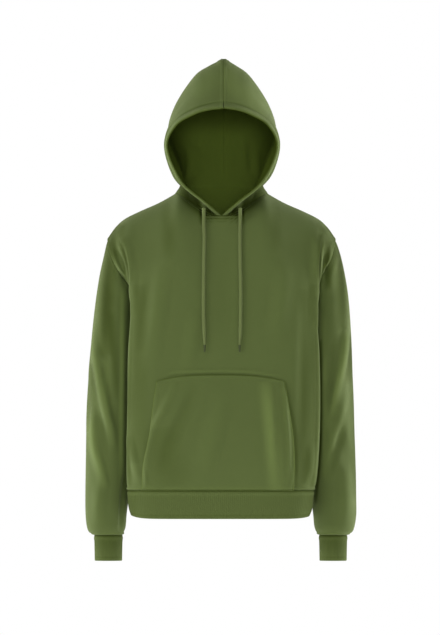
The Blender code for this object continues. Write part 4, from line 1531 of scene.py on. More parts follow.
@dataclass
class Pocket:
    """The front pocket, lifted off the front panel between its two hand openings."""

    creases: tuple[Crease, ...]
    edges: tuple[PocketEdge, ...] = table(
        PocketEdge,
        (HEM_SEAM_Z * MM, 156, 173), (-585, 158.5, 170.5), (-520, 155, 157.5), (-440, 144, 147.5),
        (-391, 137.5, 140.5),
    )
    bulge: float = 0.0135
    fullness: float = 0.8
    clear: float = 0.0009
    thickness: float = 0.0022
    side_rest: float = 0.92
    left_share: float = 0.55
    half_size: float = 0.15
    # Each roll's shade is a painted shadow along its seam.
    rolls: tuple[tuple[Rim, Roll], ...] = (
        (Rim.START, Roll(0.0002, 0.0, 0.16, 0.0022)), (Rim.END, Roll(0.0006, 0.0, 0.34, 0.0022)),
        (Rim.TOP, Roll(0.0004, 0.0, 0.24, 0.0016)), (Rim.BOTTOM, Roll(0.0012, 0.001, 0.45)),
    )
    above_hem: float = 0.0002
    section_marks: int = 61
    arc_rise: float = 0.004
    arc_drop: float = 0.014
    rows: int = 50
    columns: int = 70
    flat: Pair = (0.34, 0.26)
    area: float = 0.081

    def cloth(self) -> Cloth:
        """The pocket as one panel."""
        top = self.edges[-1].z
        bottom = HEM_SEAM_Z + self.above_hem
        heights = with_extra(np.linspace(bottom, top, self.rows), 1.0, True, True)
        shares = with_extra(np.linspace(-1, 1, self.columns), self.half_size, True, True)
        widths = smooth([edge.z for edge in self.edges], self.edges, heights)
        marks = np.linspace(0, 6, self.section_marks)
        rows = []
        for z, width in zip(heights, widths):
            section = np.vstack([BODY.front_section(Side.RIGHT, z, marks)[:0:-1],
                                 BODY.front_section(Side.LEFT, z, marks)])
            folds = np.argmin(section[:, 0]), np.argmax(section[:, 0])
            face = section[folds[0]:folds[1] + 1]
            x = shares * np.where(shares >= 0, width[1], width[2])
            y = np.interp(x, face[:, 0], face[:, 1])
            share = np.clip((z - HEM_SEAM_Z) / (top - HEM_SEAM_Z), 0, 1)
            rest = np.where(shares < 0, self.side_rest, self.left_share * self.side_rest)
            bulge = self.bulge * (1 - rest * np.abs(shares)**4)
            lift = self.clear + bulge * np.sin(pi * share)**self.fullness + self.thickness
            arc = (self.arc_rise - self.arc_drop * np.abs(shares)**3) * share**4
            rows.append(np.column_stack([x, y - lift, z + arc]))
        outer = np.array(rows)
        inward = np.zeros_like(outer)
        inward[..., 1] = 1.0
        made = Cloth("pocket_jersey", outer, inward, self.thickness)
        made.crease(self.creases)
        for rim, edge in self.rolls:
            made.roll(rim, edge)
        return made


# ---------------------------------------------------------------- drawcords

class CordPoint(NamedTuple):
    """A point of a cord: its height and its sway out on each side."""

    z: float
    left: float
    right: float


@dataclass
class Drawcord:
    """A free end of the drawcord with its pressed tip."""

    side: Side
    chest: Grid
    width: float = 0.0078
    clear: float = 0.0016
    front_y: float = -0.0985
    x_left: float = 0.0405
    x_right: float = 0.0385
    top: tuple[Pair, ...] = ((-0.103, -0.025), (-0.1035, -0.032))
    points: tuple[CordPoint, ...] = table(
        CordPoint,
        (-44, 0, 0), (-65, 0, 0), (-90, -0.5, -1), (-145, 0, 0), (-205, 1.2, 0.6),
        (-270, 0.8, 0.2), (-322, -1.2, -2),
    )
    tip_end: float = -0.337
    rows: int = 150
    sides: int = 16
    taper_start: float = -0.292
    taper_share: float = 0.62
    cap: float = 0.3
    tip_gap: float = 0.0003
    tip_rows: int = 14
    tip_swell: float = 1.02
    tip_taper: float = 0.28
    tip_round: float = 0.12

    def route(self) -> Grid:
        """The cord's own points, from under the hood's edge down the chest."""
        across = self.x_left if self.side is Side.LEFT else self.x_right
        route = [(across, y, z) for y, z in self.top]
        for point in self.points:
            sway = point.left if self.side is Side.LEFT else point.right
            y = depth_at(self.chest, self.side.value * across, point.z)
            y = min(y - self.width / 2 - self.clear, self.front_y)
            route.append((across + sway, y, point.z))
        return np.array(route) * self.side.mirror

    def centre(self) -> Grid:
        """The cord's centre line at even steps."""
        return measured(self.route(), np.linspace(0, 1, self.rows))

    def radius(self, z: Grid) -> Grid:
        """The cord's radius at a height, less where it tapers into its tip."""
        drop = ease(self.taper_start, self.points[-1].z, z)
        return self.width / 2 * (1 - (1 - self.taper_share) * drop)

    def tip_form(self, end: Grid) -> tuple[Grid, Grid]:
        """The pressed tip below the cord.

        Args:
            end: the cord's last point.

        Returns:
            The tip's centre line, and its radius at each point.
        """
        drop = np.linspace(self.tip_gap, end[2] - self.tip_end, self.tip_rows)
        share = drop / drop[-1]
        return end - drop[:, None] * (0.0, 0.0, 1.0), self.radius(end[2]) \
            * (self.tip_swell - self.tip_taper * share - self.tip_round * share**6)

    def tube(self, name: str, line: Grid, radii: Grid) -> bpy.types.Object:
        """A closed round tube along a line, with its map along and round.

        Args:
            name: the piece's name.
            line: its centre points.
            radii: one for each of them.

        Returns:
            The new object.
        """
        way = unit(np.gradient(line, axis=0))
        across = unit(np.cross(way, (0.0, 1.0, 0.0)))
        ahead = np.cross(across, way)
        angle = 2 * pi * np.arange(self.sides) / self.sides
        ring = across[:, None] * np.cos(angle)[None, :, None] \
            + ahead[:, None] * np.sin(angle)[None, :, None]
        points = line[:, None] + ring * radii[:, None, None]
        numbers, quads = lattice(*points.shape[:2], True)
        faces = quads.tolist()
        for ring, cap in ((numbers[0, ::-1], numbers.size), (numbers[-1], numbers.size + 1)):
            faces += [(here, after, cap) for here, after in zip(ring, np.roll(ring, -1))]
        caps = line[[0, -1]] + way[[0, -1]] * radii[[0, -1], None] * ((-self.cap,), (self.cap,))
        mesh, corners = shell(name, np.vstack([points.reshape(-1, 3), caps]), faces)
        along = np.concatenate([np.repeat(travel(line), self.sides), [0, travel(line)[-1]]])
        turn = np.concatenate([np.tile(angle / (2 * pi), len(line)), [0, 0]])
        u = turn[corners]
        for face in mesh.polygons:
            span = list(face.loop_indices)
            if max(u[span]) - min(u[span]) > 0.5:
                u[span] = np.where(u[span] < 0.5, u[span] + 1, u[span])
        lay_map(mesh, np.column_stack([u, along[corners]]))
        return placed(name, mesh)


def depth_at(grid: Grid, x: float, z: float) -> float:
    """Depth of the front panel's outer face, read from its grid.

    Args:
        grid: the panel's outer points.
        x: where to read it, across.
        z: and up.

    Returns:
        The y there.
    """
    middle = grid.shape[1] // 2
    reach = middle // 2
    face = grid[:, middle - reach:middle + reach + 1]
    found = np.array(sorted((np.interp(x, row[:, 0], row[:, 2]), np.interp(x, row[:, 0], row[:, 1]))
                            for row in face))
    return float(np.interp(z, found[:, 0], found[:, 1]))


# ---------------------------------------------------------------- sewing

@dataclass(frozen=True)
class StitchRow:
    """A row of stitches along a line on the cloth."""

    points: Grid
    facing: Grid
    pitch: float = 0.0034
    look: float = 0.0005

    def places(self) -> tuple[Grid, Grid, Grid]:
        """Middle, way and facing of each stitch."""
        along = travel(self.points)
        count = max(2, int(along[-1] / self.pitch))
        marks = (np.arange(count) + 0.5) * along[-1] / count
        both = np.hstack([self.points, self.facing])
        read, before, after = (np.column_stack([np.interp(marks + step, along, column)
                                                for column in both.T])
                               for step in (0.0, -self.look, self.look))
        return read[:, :3], unit((after - before)[:, :3]), unit(read[:, 3:])


# ---------------------------------------------------------------- node trees

class Bench:
    """Makes the nodes of one tree."""

    def __init__(self, tree: bpy.types.NodeTree) -> None:
        """Take a tree and empty it."""
        self.tree = tree
        tree.nodes.clear()

    def node(self, kind: str, inputs: dict[Any, Any] | None = None,
             **settings: Any) -> bpy.types.Node:
        """Make a node.

        Args:
            kind: its type.
            inputs: values or signals for its sockets.
            settings: its properties, which are set first.

        Returns:
            The node.
        """
        made = self.tree.nodes.new(kind)
        for name, value in settings.items():
            setattr(made, name, value)
        for name, value in (inputs or {}).items():
            if isinstance(value, Signal):
                self.tree.links.new(value.socket, made.inputs[name])
            else:
                made.inputs[name].default_value = value
        return made

    def signal(self, kind: str, output: Any, inputs: dict[Any, Any] | None = None,
               **settings: Any) -> "Signal":
        """Make a node and take one of its outputs."""
        return Signal(self, self.node(kind, inputs, **settings).outputs[output])

    def colour(self, factor: "Signal | float", first: Any, second: Any) -> "Signal":
        """Mix two colours."""
        return self.signal("ShaderNodeMix", 2, {0: factor, 6: first, 7: second}, data_type="RGBA")

    def scaled(self, colour: Any, factor: "Signal") -> "Signal":
        """A colour made lighter or darker by a factor."""
        return self.signal("ShaderNodeVectorMath", 0, {0: colour, 3: factor}, operation="SCALE")

    def attribute(self, name: str) -> "Signal":
        """A number that the mesh keeps on its points."""
        return self.signal("ShaderNodeAttribute", 2, attribute_name=name)

    def noise(self, place: "Signal", scale: float, detail: float, rough: float) -> "Signal":
        """Soft random pattern on a place."""
        return self.signal("ShaderNodeTexNoise", 0, {"Vector": place, "Scale": scale,
                                                     "Detail": detail, "Roughness": rough})


class Signal:
    """A socket whose values can be used in Python expressions."""

    def __init__(self, bench: Bench, socket: bpy.types.NodeSocket) -> None:
        """Wrap a socket of a bench's tree."""
        self.bench = bench
        self.socket = socket

    def math(self, operation: str, *others: "Signal | float") -> "Signal":
        """This value and others through a Math node."""
        return Signal.of(self.bench, operation, self, *others)

    @staticmethod
    def of(bench: Bench, operation: str, *values: "Signal | float") -> "Signal":
        """Values through a Math node."""
        return bench.signal("ShaderNodeMath", 0, dict(enumerate(values)), operation=operation)

    def __add__(self, other: "Signal | float") -> "Signal":
        """Sum."""
        return self.math("ADD", other)

    __radd__ = __add__

    def __mul__(self, other: "Signal | float") -> "Signal":
        """Product."""
        return self.math("MULTIPLY", other)

    __rmul__ = __mul__

    def __sub__(self, other: "Signal | float") -> "Signal":
        """Difference."""
        return self.math("SUBTRACT", other)

    def __rsub__(self, other: float) -> "Signal":
        """Difference from a number."""
        return Signal.of(self.bench, "SUBTRACT", other, self)

    def __abs__(self) -> "Signal":
        """Distance from zero."""
        return self.math("ABSOLUTE")

    def wave(self) -> "Signal":
        """Sine of this value."""
        return self.math("SINE")


# ---------------------------------------------------------------- finishes

@dataclass(frozen=True)
class Finish:
    """What every cloth finish shares."""

    name: str
    colour: Colour
    roughness: float = 0.9
    sheen: float = 0.2
    sheen_roughness: float = 0.38
    sheen_tint: Colour = (0.78, 0.88, 0.5)
    mottle: float = 0.06
    # Tint of the painted shade, which turns deeply painted shade yellower.
    hollow_tint: Colour = (0.92, 1.0, 0.25)
    # The inner layer's colour: painted shade near the opening, and further in its lighter brushed
    # back together with painted light.
    inside_shade_tint: Colour = (0.54, 0.58, 0.24)
    brushed_and_lit_tint: Colour = (1.35, 1.42, 0.8)
    fuzz_depth: float = 0.00025
    knit_depth: float = 0.00022
    cloud: Triple = (38.0, 5.0, 0.62)
    grain: Triple = (420.0, 3.0, 0.6)
    fuzz: Triple = (1500.0, 2.0, 0.5)
    grain_mottle: float = 1.5
    grain_rough: float = 0.1
    rub_rough: float = 0.04
    knit_strength: float = 0.6
    fuzz_strength: float = 0.5
    grain_relief: float = 1.6
    # knit_shade paints shade between the knit's loops.
    knit_shade: float = 0.1
    rub_light: float = 0.06
    gloss: float = 0.25
    # A shader without sheen for the inner layer and where shade is painted, so that painted shade
    # stays dark.
    dull_gloss: float = 0.05
    dull_share: float = 1.3

    def height(self, bench: Bench) -> Signal:
        """The knit's own relief, 0 to 1, from the cloth map."""
        raise NotImplementedError

    def material(self) -> bpy.types.Material:
        """The finish as a material."""
        made = bpy.data.materials.new(self.name)
        made.use_nodes = True
        bench = Bench(made.node_tree)
        place = bench.signal("ShaderNodeTexCoord", "Object")
        cloud, grain, fuzz = (bench.noise(place, *look)
                              for look in (self.cloud, self.grain, self.fuzz))
        rub, inside, hollow, deep = map(bench.attribute, ("rub", "inside", "hollow", "deep"))
        knit = self.height(bench)
        # Random mottle, the rubbed edges, and painted shade between the knit's loops.
        shade = (cloud - 0.5) * self.mottle + (grain - 0.5) * (self.mottle * self.grain_mottle) \
            + (knit - 0.5) * self.knit_shade + rub * self.rub_light + 1.0
        # Painted shade and highlight stay off the inner layer, which takes its own painted tints.
        hollow = hollow * (1 - inside)
        # The inside: painted shade near the opening, brushed back and painted light further in.
        within = bench.colour(deep, self.tinted(self.inside_shade_tint), self.tinted(self.brushed_and_lit_tint))
        # The outer layer: painted shade turns its colour darker and yellower, painted highlight
        # lighter.
        outside = bench.colour(hollow, (*self.colour, 1.0), self.tinted(self.hollow_tint))
        tone = bench.scaled(bench.colour(inside, outside, within), shade * (1 - hollow))
        rough = (grain - 0.5) * self.grain_rough + rub * self.rub_rough + self.roughness
        relief = bench.signal("ShaderNodeBump", 0, {
            "Strength": self.knit_strength, "Distance": self.knit_depth, "Height": knit})
        relief = bench.signal("ShaderNodeBump", 0, {
            "Strength": self.fuzz_strength, "Distance": self.fuzz_depth,
            "Height": fuzz + grain * self.grain_relief, "Normal": relief})
        lit, dull = (bench.signal("ShaderNodeBsdfPrincipled", 0, {
            "Base Color": tone, "Roughness": rough, "Normal": relief,
            "Sheen Weight": sheen, "Sheen Roughness": self.sheen_roughness,
            "Sheen Tint": (*self.sheen_tint, 1.0), "Specular IOR Level": gloss,
        }) for sheen, gloss in ((self.sheen, self.gloss), (0.0, self.dull_gloss)))
        # No sheen on the inner layer nor where shade is painted.
        dull_where_shaded = Signal.of(bench, "MAXIMUM", inside, hollow * self.dull_share)
        shader = bench.signal("ShaderNodeMixShader", 0, {0: dull_where_shaded, 1: lit, 2: dull})
        bench.node("ShaderNodeOutputMaterial", {"Surface": shader})
        return made

    def tinted(self, tint: Colour) -> tuple[float, ...]:
        """The finish's colour under a tint, with its alpha."""
        return (*(own * share for own, share in zip(self.colour, tint)), 1.0)

    def map_axes(self, bench: Bench) -> tuple[Signal, Signal]:
        """Across and up on the cloth, in metres.

        Args:
            bench: the material's nodes.

        Returns:
            The two signals.
        """
        flat = bench.signal("ShaderNodeUVMap", 0, uv_map="cloth")
        parts = bench.node("ShaderNodeSeparateXYZ", {0: flat})
        return Signal(bench, parts.outputs[0]), Signal(bench, parts.outputs[1])


@dataclass(frozen=True)
class JerseyFinish(Finish):
    """Brushed jersey: fine upright rows of slanted loops."""

    wale: float = 0.0014
    course: float = 0.0011
    slant: float = 1.3
    least: float = 0.4

    def height(self, bench: Bench) -> Signal:
        """Two slanted legs to each loop.

        Args:
            bench: the material's nodes.

        Returns:
            The relief, 0 to 1.
        """
        across, up = self.map_axes(bench)
        turns = across * (1 / self.wale)
        leg = abs((turns * (2 * pi)).wave())
        slant = abs(turns.math("FRACT") - 0.5)
        step = ((up * (1 / self.course) + slant * self.slant) * (2 * pi)).wave() * 0.5 + 0.5
        return leg * (step * (1 - self.least) + self.least)


@dataclass(frozen=True)
class RibFinish(Finish):
    """Ribbed knit: the loops stand in deeper upright rows."""

    wale: float = 0.0021
    course: float = 0.0014

    def height(self, bench: Bench) -> Signal:
        """Loops stacked on each rib.

        Args:
            bench: the material's nodes.

        Returns:
            The relief, 0 to 1.
        """
        across, up = self.map_axes(bench)
        leg = abs((across * (2 * pi / self.wale)).wave())
        step = (up * (2 * pi / self.course)).wave() * 0.5 + 0.5
        return leg * (step * 0.5 + 0.5)


@dataclass(frozen=True)
class CordFinish(Finish):
    """Knitted tube cord: small slanted plaits all round."""

    plaits: float = 5.0
    rise: float = 0.0052

    def height(self, bench: Bench) -> Signal:
        """Two sets of plaits that cross.

        Args:
            bench: the material's nodes.

        Returns:
            The relief, 0 to 1.
        """
        turn, along = self.map_axes(bench)
        right = abs((turn * (self.plaits * pi) + along * (pi / self.rise * 2)).wave())
        left = abs((turn * (self.plaits * pi) - along * (pi / self.rise * 2)).wave())
        return right * left


@dataclass(frozen=True)
class ThreadFinish(Finish):
    """Sewing thread: a plain twist with a little shine."""

    twist: Triple = (2600.0, 2.0, 0.5)

    def height(self, bench: Bench) -> Signal:
        """Fine twist from a noise on the object."""
        return bench.noise(bench.signal("ShaderNodeTexCoord", "Object"), *self.twist)


FINISHES = {
    "jersey": JerseyFinish("jersey_olive", (0.098, 0.133, 0.035)),
    "rib": RibFinish("rib_olive", (0.102, 0.137, 0.037), knit_depth=0.0003),
    "cord": CordFinish("cord_olive", (0.15, 0.19, 0.062), knit_depth=0.0006, mottle=0.04),
    "cord_tip": CordFinish("cord_end_olive", (0.055, 0.07, 0.024), roughness=0.7, sheen=0.1),
    "thread": ThreadFinish("thread_olive", (0.104, 0.14, 0.04), roughness=0.6, sheen=0.05),
}


# ---------------------------------------------------------------- stitch tree

@dataclass
class Sewing:
    """All the stitches that show, one piece for each part of the garment."""

    thread: bpy.types.Material
    length: float = 0.0026
    width: float = 0.0008
    height: float = 0.0006
    sunk: float = 0.15
    tree: bpy.types.NodeTree = field(init=False)

    def __post_init__(self) -> None:
        """Build the tree once."""
        self.tree = self._make_tree()

    @property
    def sizes(self) -> dict[str, float]:
        """The tree's inputs for the size of a stitch."""
        return {"Stitch Length": self.length, "Stitch Width": self.width,
                "Stitch Height": self.height}

    def _make_tree(self) -> bpy.types.NodeTree:
        """A tree that sets a stitch on each point, turned by the point's own axes."""
        tree = bpy.data.node_groups.new("stitch_row", "GeometryNodeTree")
        bench = Bench(tree)
        sockets = [("Geometry", "Geometry"), ("Thread", "Material")]
        for name, kind in sockets + [(name, "Float") for name in self.sizes]:
            tree.interface.new_socket(name, in_out="INPUT", socket_type="NodeSocket" + kind)
        tree.interface.new_socket("Geometry", in_out="OUTPUT", socket_type="NodeSocketGeometry")
        given = {socket.name: Signal(bench, socket)
                 for socket in bench.node("NodeGroupInput").outputs}
        bead = bench.signal("GeometryNodeMeshUVSphere", "Mesh",
                            {"Segments": 6, "Rings": 4, "Radius": 0.5})
        scale = bench.signal("ShaderNodeCombineXYZ", 0,
                             {axis: given[name] for axis, name in enumerate(self.sizes)})
        axes = [bench.signal("GeometryNodeInputNamedAttribute", "Attribute", {"Name": name},
                             data_type="FLOAT_VECTOR") for name in ("along", "out")]
        turn = bench.signal("FunctionNodeAxesToRotation", 0, dict(enumerate(axes)),
                            primary_axis="X", secondary_axis="Z")
        beads = bench.signal("GeometryNodeInstanceOnPoints", 0, {
            "Points": given["Geometry"], "Instance": bead, "Rotation": turn, "Scale": scale})
        real = bench.signal("GeometryNodeRealizeInstances", 0, {0: beads})
        soft = bench.signal("GeometryNodeSetShadeSmooth", 0, {0: real})
        dressed = bench.signal("GeometryNodeSetMaterial", 0,
                               {"Geometry": soft, "Material": given["Thread"]})
        bench.node("NodeGroupOutput", {0: dressed})
        return tree

    def sew(self, name: str, rows: list[StitchRow]) -> bpy.types.Object:
        """Stitch rows as one piece.

        Args:
            name: the piece's name.
            rows: the rows.

        Returns:
            The new object.
        """
        places, along, out = (np.vstack(items) for items in zip(*(row.places() for row in rows)))
        mesh = bpy.data.meshes.new(name + "_places")
        mesh.from_pydata((places + out * self.height * self.sunk).tolist(), [], [])
        store(mesh, "along", along)
        store(mesh, "out", out)
        guide = placed(name + "_guide", mesh)
        modifier = guide.modifiers.new("stitches", "NODES")
        modifier.node_group = self.tree
        wanted = {**self.sizes, "Thread": self.thread}
        for item in self.tree.interface.items_tree:
            if item.in_out == "INPUT" and item.name in wanted:
                modifier[item.identifier] = wanted[item.name]
        graph = bpy.context.evaluated_depsgraph_get()
        plain = bpy.data.meshes.new_from_object(guide.evaluated_get(graph))
        plain.name = name
        bpy.data.objects.remove(guide)
        return placed(name, plain)


# ---------------------------------------------------------------- studio

class Lamp(NamedTuple):
    """A soft panel of light: its place, size and power."""

    name: str
    place: Triple
    size: Pair
    power: float


@dataclass
class Studio:
    """Camera, soft light and floor."""

    middle: Pair = (-0.0033, -0.2627)
    distance: float = 30.0
    frame_height: float = 1.3843
    sensor: float = 36.0
    floor_z: float = -1.45
    floor_size: float = 12.0
    sky: float = 0.3
    backdrop: float = 1.0
    aim: Triple = (0.0, 0.0, -0.28)
    lamps: tuple[Lamp, ...] = (
        Lamp("key", (-5.0, -3.4, 1.4), (2.6, 2.6), 104.0),
        Lamp("front", (0.2, -7.0, 0.4), (2.4, 2.4), 110.0),
        Lamp("top", (0.0, -1.5, 5.0), (2.0, 2.0), 36.0),
        Lamp("edge_right", (-3.3, 1.2, -0.2), (1.2, 2.4), 106.0),
        Lamp("edge_left", (3.3, 1.2, -0.2), (1.2, 2.4), 138.0),
        Lamp("back", (3.6, 6.0, 1.8), (2.4, 2.4), 40.0),
    )
    floor_colour: Colour = (0.9, 0.9, 0.9)
    floor_glow: float = 0.16

    def camera(self) -> None:
        """A very long lens, level with the garment's middle."""
        data = bpy.data.cameras.new("camera")
        data.sensor_width = self.sensor
        data.lens = self.sensor * self.distance / self.frame_height
        data.clip_end = 100.0
        made = placed("camera", data)
        made.location = (self.middle[0], -self.distance, self.middle[1])
        made.rotation_euler = (pi / 2, 0.0, 0.0)
        bpy.context.scene.camera = made

    def light(self, lamp: Lamp) -> None:
        """A soft panel of light aimed at the garment.

        Args:
            lamp: what it is and where.
        """
        data = bpy.data.lights.new(lamp.name, "AREA")
        data.shape = "RECTANGLE"
        data.size, data.size_y = lamp.size
        data.energy = lamp.power
        made = placed(lamp.name, data)
        made.location = lamp.place
        way = Vector(self.aim) - Vector(lamp.place)
        made.rotation_euler = way.to_track_quat("-Z", "Y").to_euler()
        made.visible_camera = False

    def light_sky(self) -> None:
        """White behind the garment, and a weaker light from all round."""
        world = bpy.data.worlds.new("sky")
        world.use_nodes = True
        bench = Bench(world.node_tree)
        seen = bench.signal("ShaderNodeLightPath", "Is Camera Ray")
        glow = bench.signal("ShaderNodeBackground", 0, {
            "Color": WHITE, "Strength": seen * (self.backdrop - self.sky) + self.sky})
        bench.node("ShaderNodeOutputWorld", {"Surface": glow})
        bpy.context.scene.world = world

    def lay_floor(self) -> None:
        """A pale floor far below the garment."""
        reach = self.floor_size / 2
        mesh = bpy.data.meshes.new("floor")
        mesh.from_pydata([(x * reach, y * reach, self.floor_z)
                          for x, y in ((-1, -1), (1, -1), (1, 1), (-1, 1))], [], [(0, 1, 2, 3)])
        paint = bpy.data.materials.new("floor_paint")
        paint.use_nodes = True
        bench = Bench(paint.node_tree)
        surface = bench.signal("ShaderNodeBsdfPrincipled", 0, {
            "Base Color": (*self.floor_colour, 1.0), "Roughness": 1.0,
            "Emission Color": WHITE, "Emission Strength": self.floor_glow})
        bench.node("ShaderNodeOutputMaterial", {"Surface": surface})
        mesh.materials.append(paint)
        placed("floor", mesh)

    def build(self) -> None:
        """Sky, lights and floor."""
        bpy.context.scene.view_settings.view_transform = "Standard"
        self.light_sky()
        for lamp in self.lamps:
            self.light(lamp)
        self.lay_floor()


# ---------------------------------------------------------------- creases and painted shade

SIDE_FOLDS = {
    Side.RIGHT: (
        front_fold(5.4, 20, (-220, -91), (-208, -109), (-201, -137), (-197, -170), (-197, -207),
            (-199.5, -257), steep=0.32, fade=0.5),
        front_fold(-5, 10, (-234, -105), (-222, -133), (-213, -164), (-210.5, -205)),
    ),
    Side.LEFT: (
        front_fold(5.4, 7, (213.6, -91), (211.5, -115.5), (208, -159), (208, -224.5), (210.4, -290),
            steep=3.0, fade=0.5),
        front_fold(-5, 10, (226, -105.5), (225, -153.5), (223.6, -207)),
    ),
}

# Ridges along the front's side corners, the first with a faint painted shade.
CORNER_FOLDS = (
    front_fold(2, 6, (-195.5, -215), (-198.2, -300), (-201.5, -400), (-203.5, -500), (-203.8, -580),
        (-202, -634), fade=0.3, shade=0.04),
    front_fold(2, 6, (204, -215), (208, -300), (211.5, -400), (211, -480), (206.5, -560),
        (199.5, -634), fade=0.3),
)

# Shallow troughs beside the sleeves, with painted shadow in the gaps between the body's side folds
# and the sleeves.
SIDE_GAPS = {
    Side.RIGHT: (
        front_fold(-1, 6.5, (-221.5, -96), (-214.5, -118), (-207.5, -140), (-202, -175),
            (-201, -215), fade=0.35, shade=0.2),
        front_fold(-0.5, 5, (-200.5, -225), (-205, -330), (-207.8, -430), (-209.5, -530),
            (-209.5, -610), (-206, -665), fade=0.22, shade=0.14),
    ),
    Side.LEFT: (
        front_fold(-1, 6.5, (220, -96), (216.5, -120), (212.5, -160), (211, -215), (212.5, -250),
            fade=0.35, shade=0.26),
        front_fold(-0.6, 6, (214.8, -310), (215.2, -350), (215.4, -420), (215.2, -500),
            (213.5, -560), (208.5, -620), (205, -665), steep=0.8, fade=0.22, shade=0.72),
    ),
}

# Folds of the front, with painted shadows and painted highlights among them.
CHEST_FOLDS = (
    shadow(24, 0.28, (-118, -4), (-117, -50), (-116, -140), fade=1.0),
    shadow(22, 0.22, (115, -4), (117, -50), (124, -120), fade=1.0),
    shadow(28, 0.13, (-172, -170), (-172, -250), (-173, -340), fade=0.6),
    front_fold(7, 32, (-124, -130), (-136.4, -224.5), (-149.5, -322.6), (-160, -390)),
    shadow(36, 0.32, (-182, -190), (-184, -320), (-188, -450), (-188, -580), steep=0.7),
    shadow(20, 0.22, (179, -200), (178, -400), (185, -625), fade=0.3),
    shadow(60, 0.13, (-130, -500), (-120, -570), (-100, -632)),
    shadow(8, 0.26, (-199, -520), (-200, -580), (-199, -634), fade=0.5),
    shadow(10, 0.36, (203, -190), (205, -330), (205, -450), (202, -560), (198, -636), steep=2.0,
        fade=0.25),
    front_fold(4.5, 24, (-58, -246), (-66.7, -322.6), (-77.4, -381.5)),
    front_fold(6, 32, (140.6, -126.4), (129.7, -224.5), (116.6, -322.6)),
    front_fold(-3.5, 40, (6, -94), (6, -210), (6, -333.5)),
    front_fold(-6, 24, (184.2, -180), (182, -355), (177.7, -540)),
    front_fold(3, 5.2, (-120, -386), (-94.8, -381), (1, -378.5), (62.1, -381), (130, -390.5),
        fade=0.35, shade=-0.16),
    front_fold(4.5, 14, (-201.7, -508), (-193, -562.5), (-180, -621)),
    front_fold(4.5, 14, (197, -530), (191, -595), (178, -632)),
    shadow(3.4, 0.16, (-145, -401), (-97, -388.5), (1, -386.5), (60, -388.5), (131, -399), fade=0.5
        ),
    front_fold(-0.8, 6, (137, -405), (145.5, -440), (157, -500), (162, -560), (161, -636), fade=0.3,
        shade=0.24),
    shadow(4.6, 0.5, (-44.8, -18), (-45, -40), (-44.8, -62), fade=0.5),
    shadow(4.6, 0.5, (46.8, -18), (47, -40), (46.6, -62), fade=0.5),
    front_fold(2.5, 6, (-166, -590), (-164, -636)),
    front_fold(2.5, 6, (153, -590), (155, -636)),
)

# Painted shadows on the shoulder tips and the tops of the sleeves.
TIP_SHADOWS = {
    Side.RIGHT: (
        shadow(24, 0.58, (-226, -56), (-240, -85), (-244, -140), (-251, -210), (-254, -290),
            (-254, -350), fade=0.3),
        shadow(13, 0.36, (-214, -55), (-218, -85), (-209, -140), (-204, -190)),
    ),
    Side.LEFT: (
        shadow(14, 0.58, (228, -60), (248, -85), (259, -140), (265, -200), (268, -290), steep=1.6,
            fade=0.3),
        shadow(13, 0.42, (212, -50), (224, -85), (232, -130), (234, -200)),
        shadow(9, 0.56, (216, -80), (215, -120), (213, -190)),
    ),
}

FRONT_CREASES = SIDE_FOLDS[Side.RIGHT] + SIDE_FOLDS[Side.LEFT] + CORNER_FOLDS + CHEST_FOLDS \
    + SIDE_GAPS[Side.RIGHT][:1] + SIDE_GAPS[Side.LEFT] + TIP_SHADOWS[Side.RIGHT] \
    + TIP_SHADOWS[Side.LEFT]

# Folds of the pocket, with one painted highlight.
POCKET_CREASES = (
    front_fold(6.4, 16, (-97, -402), (-125.4, -460), (-153.7, -516.7), (-164.6, -577.7),
        (-168, -638), steep=0.9, fade=0.6),
    front_fold(-7, 24, (-49, -402), (-77.4, -468.7), (-108, -530), (-134, -600), fade=0.7),
    front_fold(6, 34, (10, -405), (-10.7, -486), (-30, -551.5), (-45.6, -630)),
    front_fold(8.5, 15, (103.4, -402), (107.7, -486), (112, -551.5), (116.5, -638), steep=1.5,
        fade=0.6),
    shadow(27, -0.4, (95, -400), (106, -480), (116, -560), (120, -640)),
    front_fold(6, 7, (136, -415), (142.5, -486), (146.5, -551.5), (146.5, -638), fade=0.6),
)

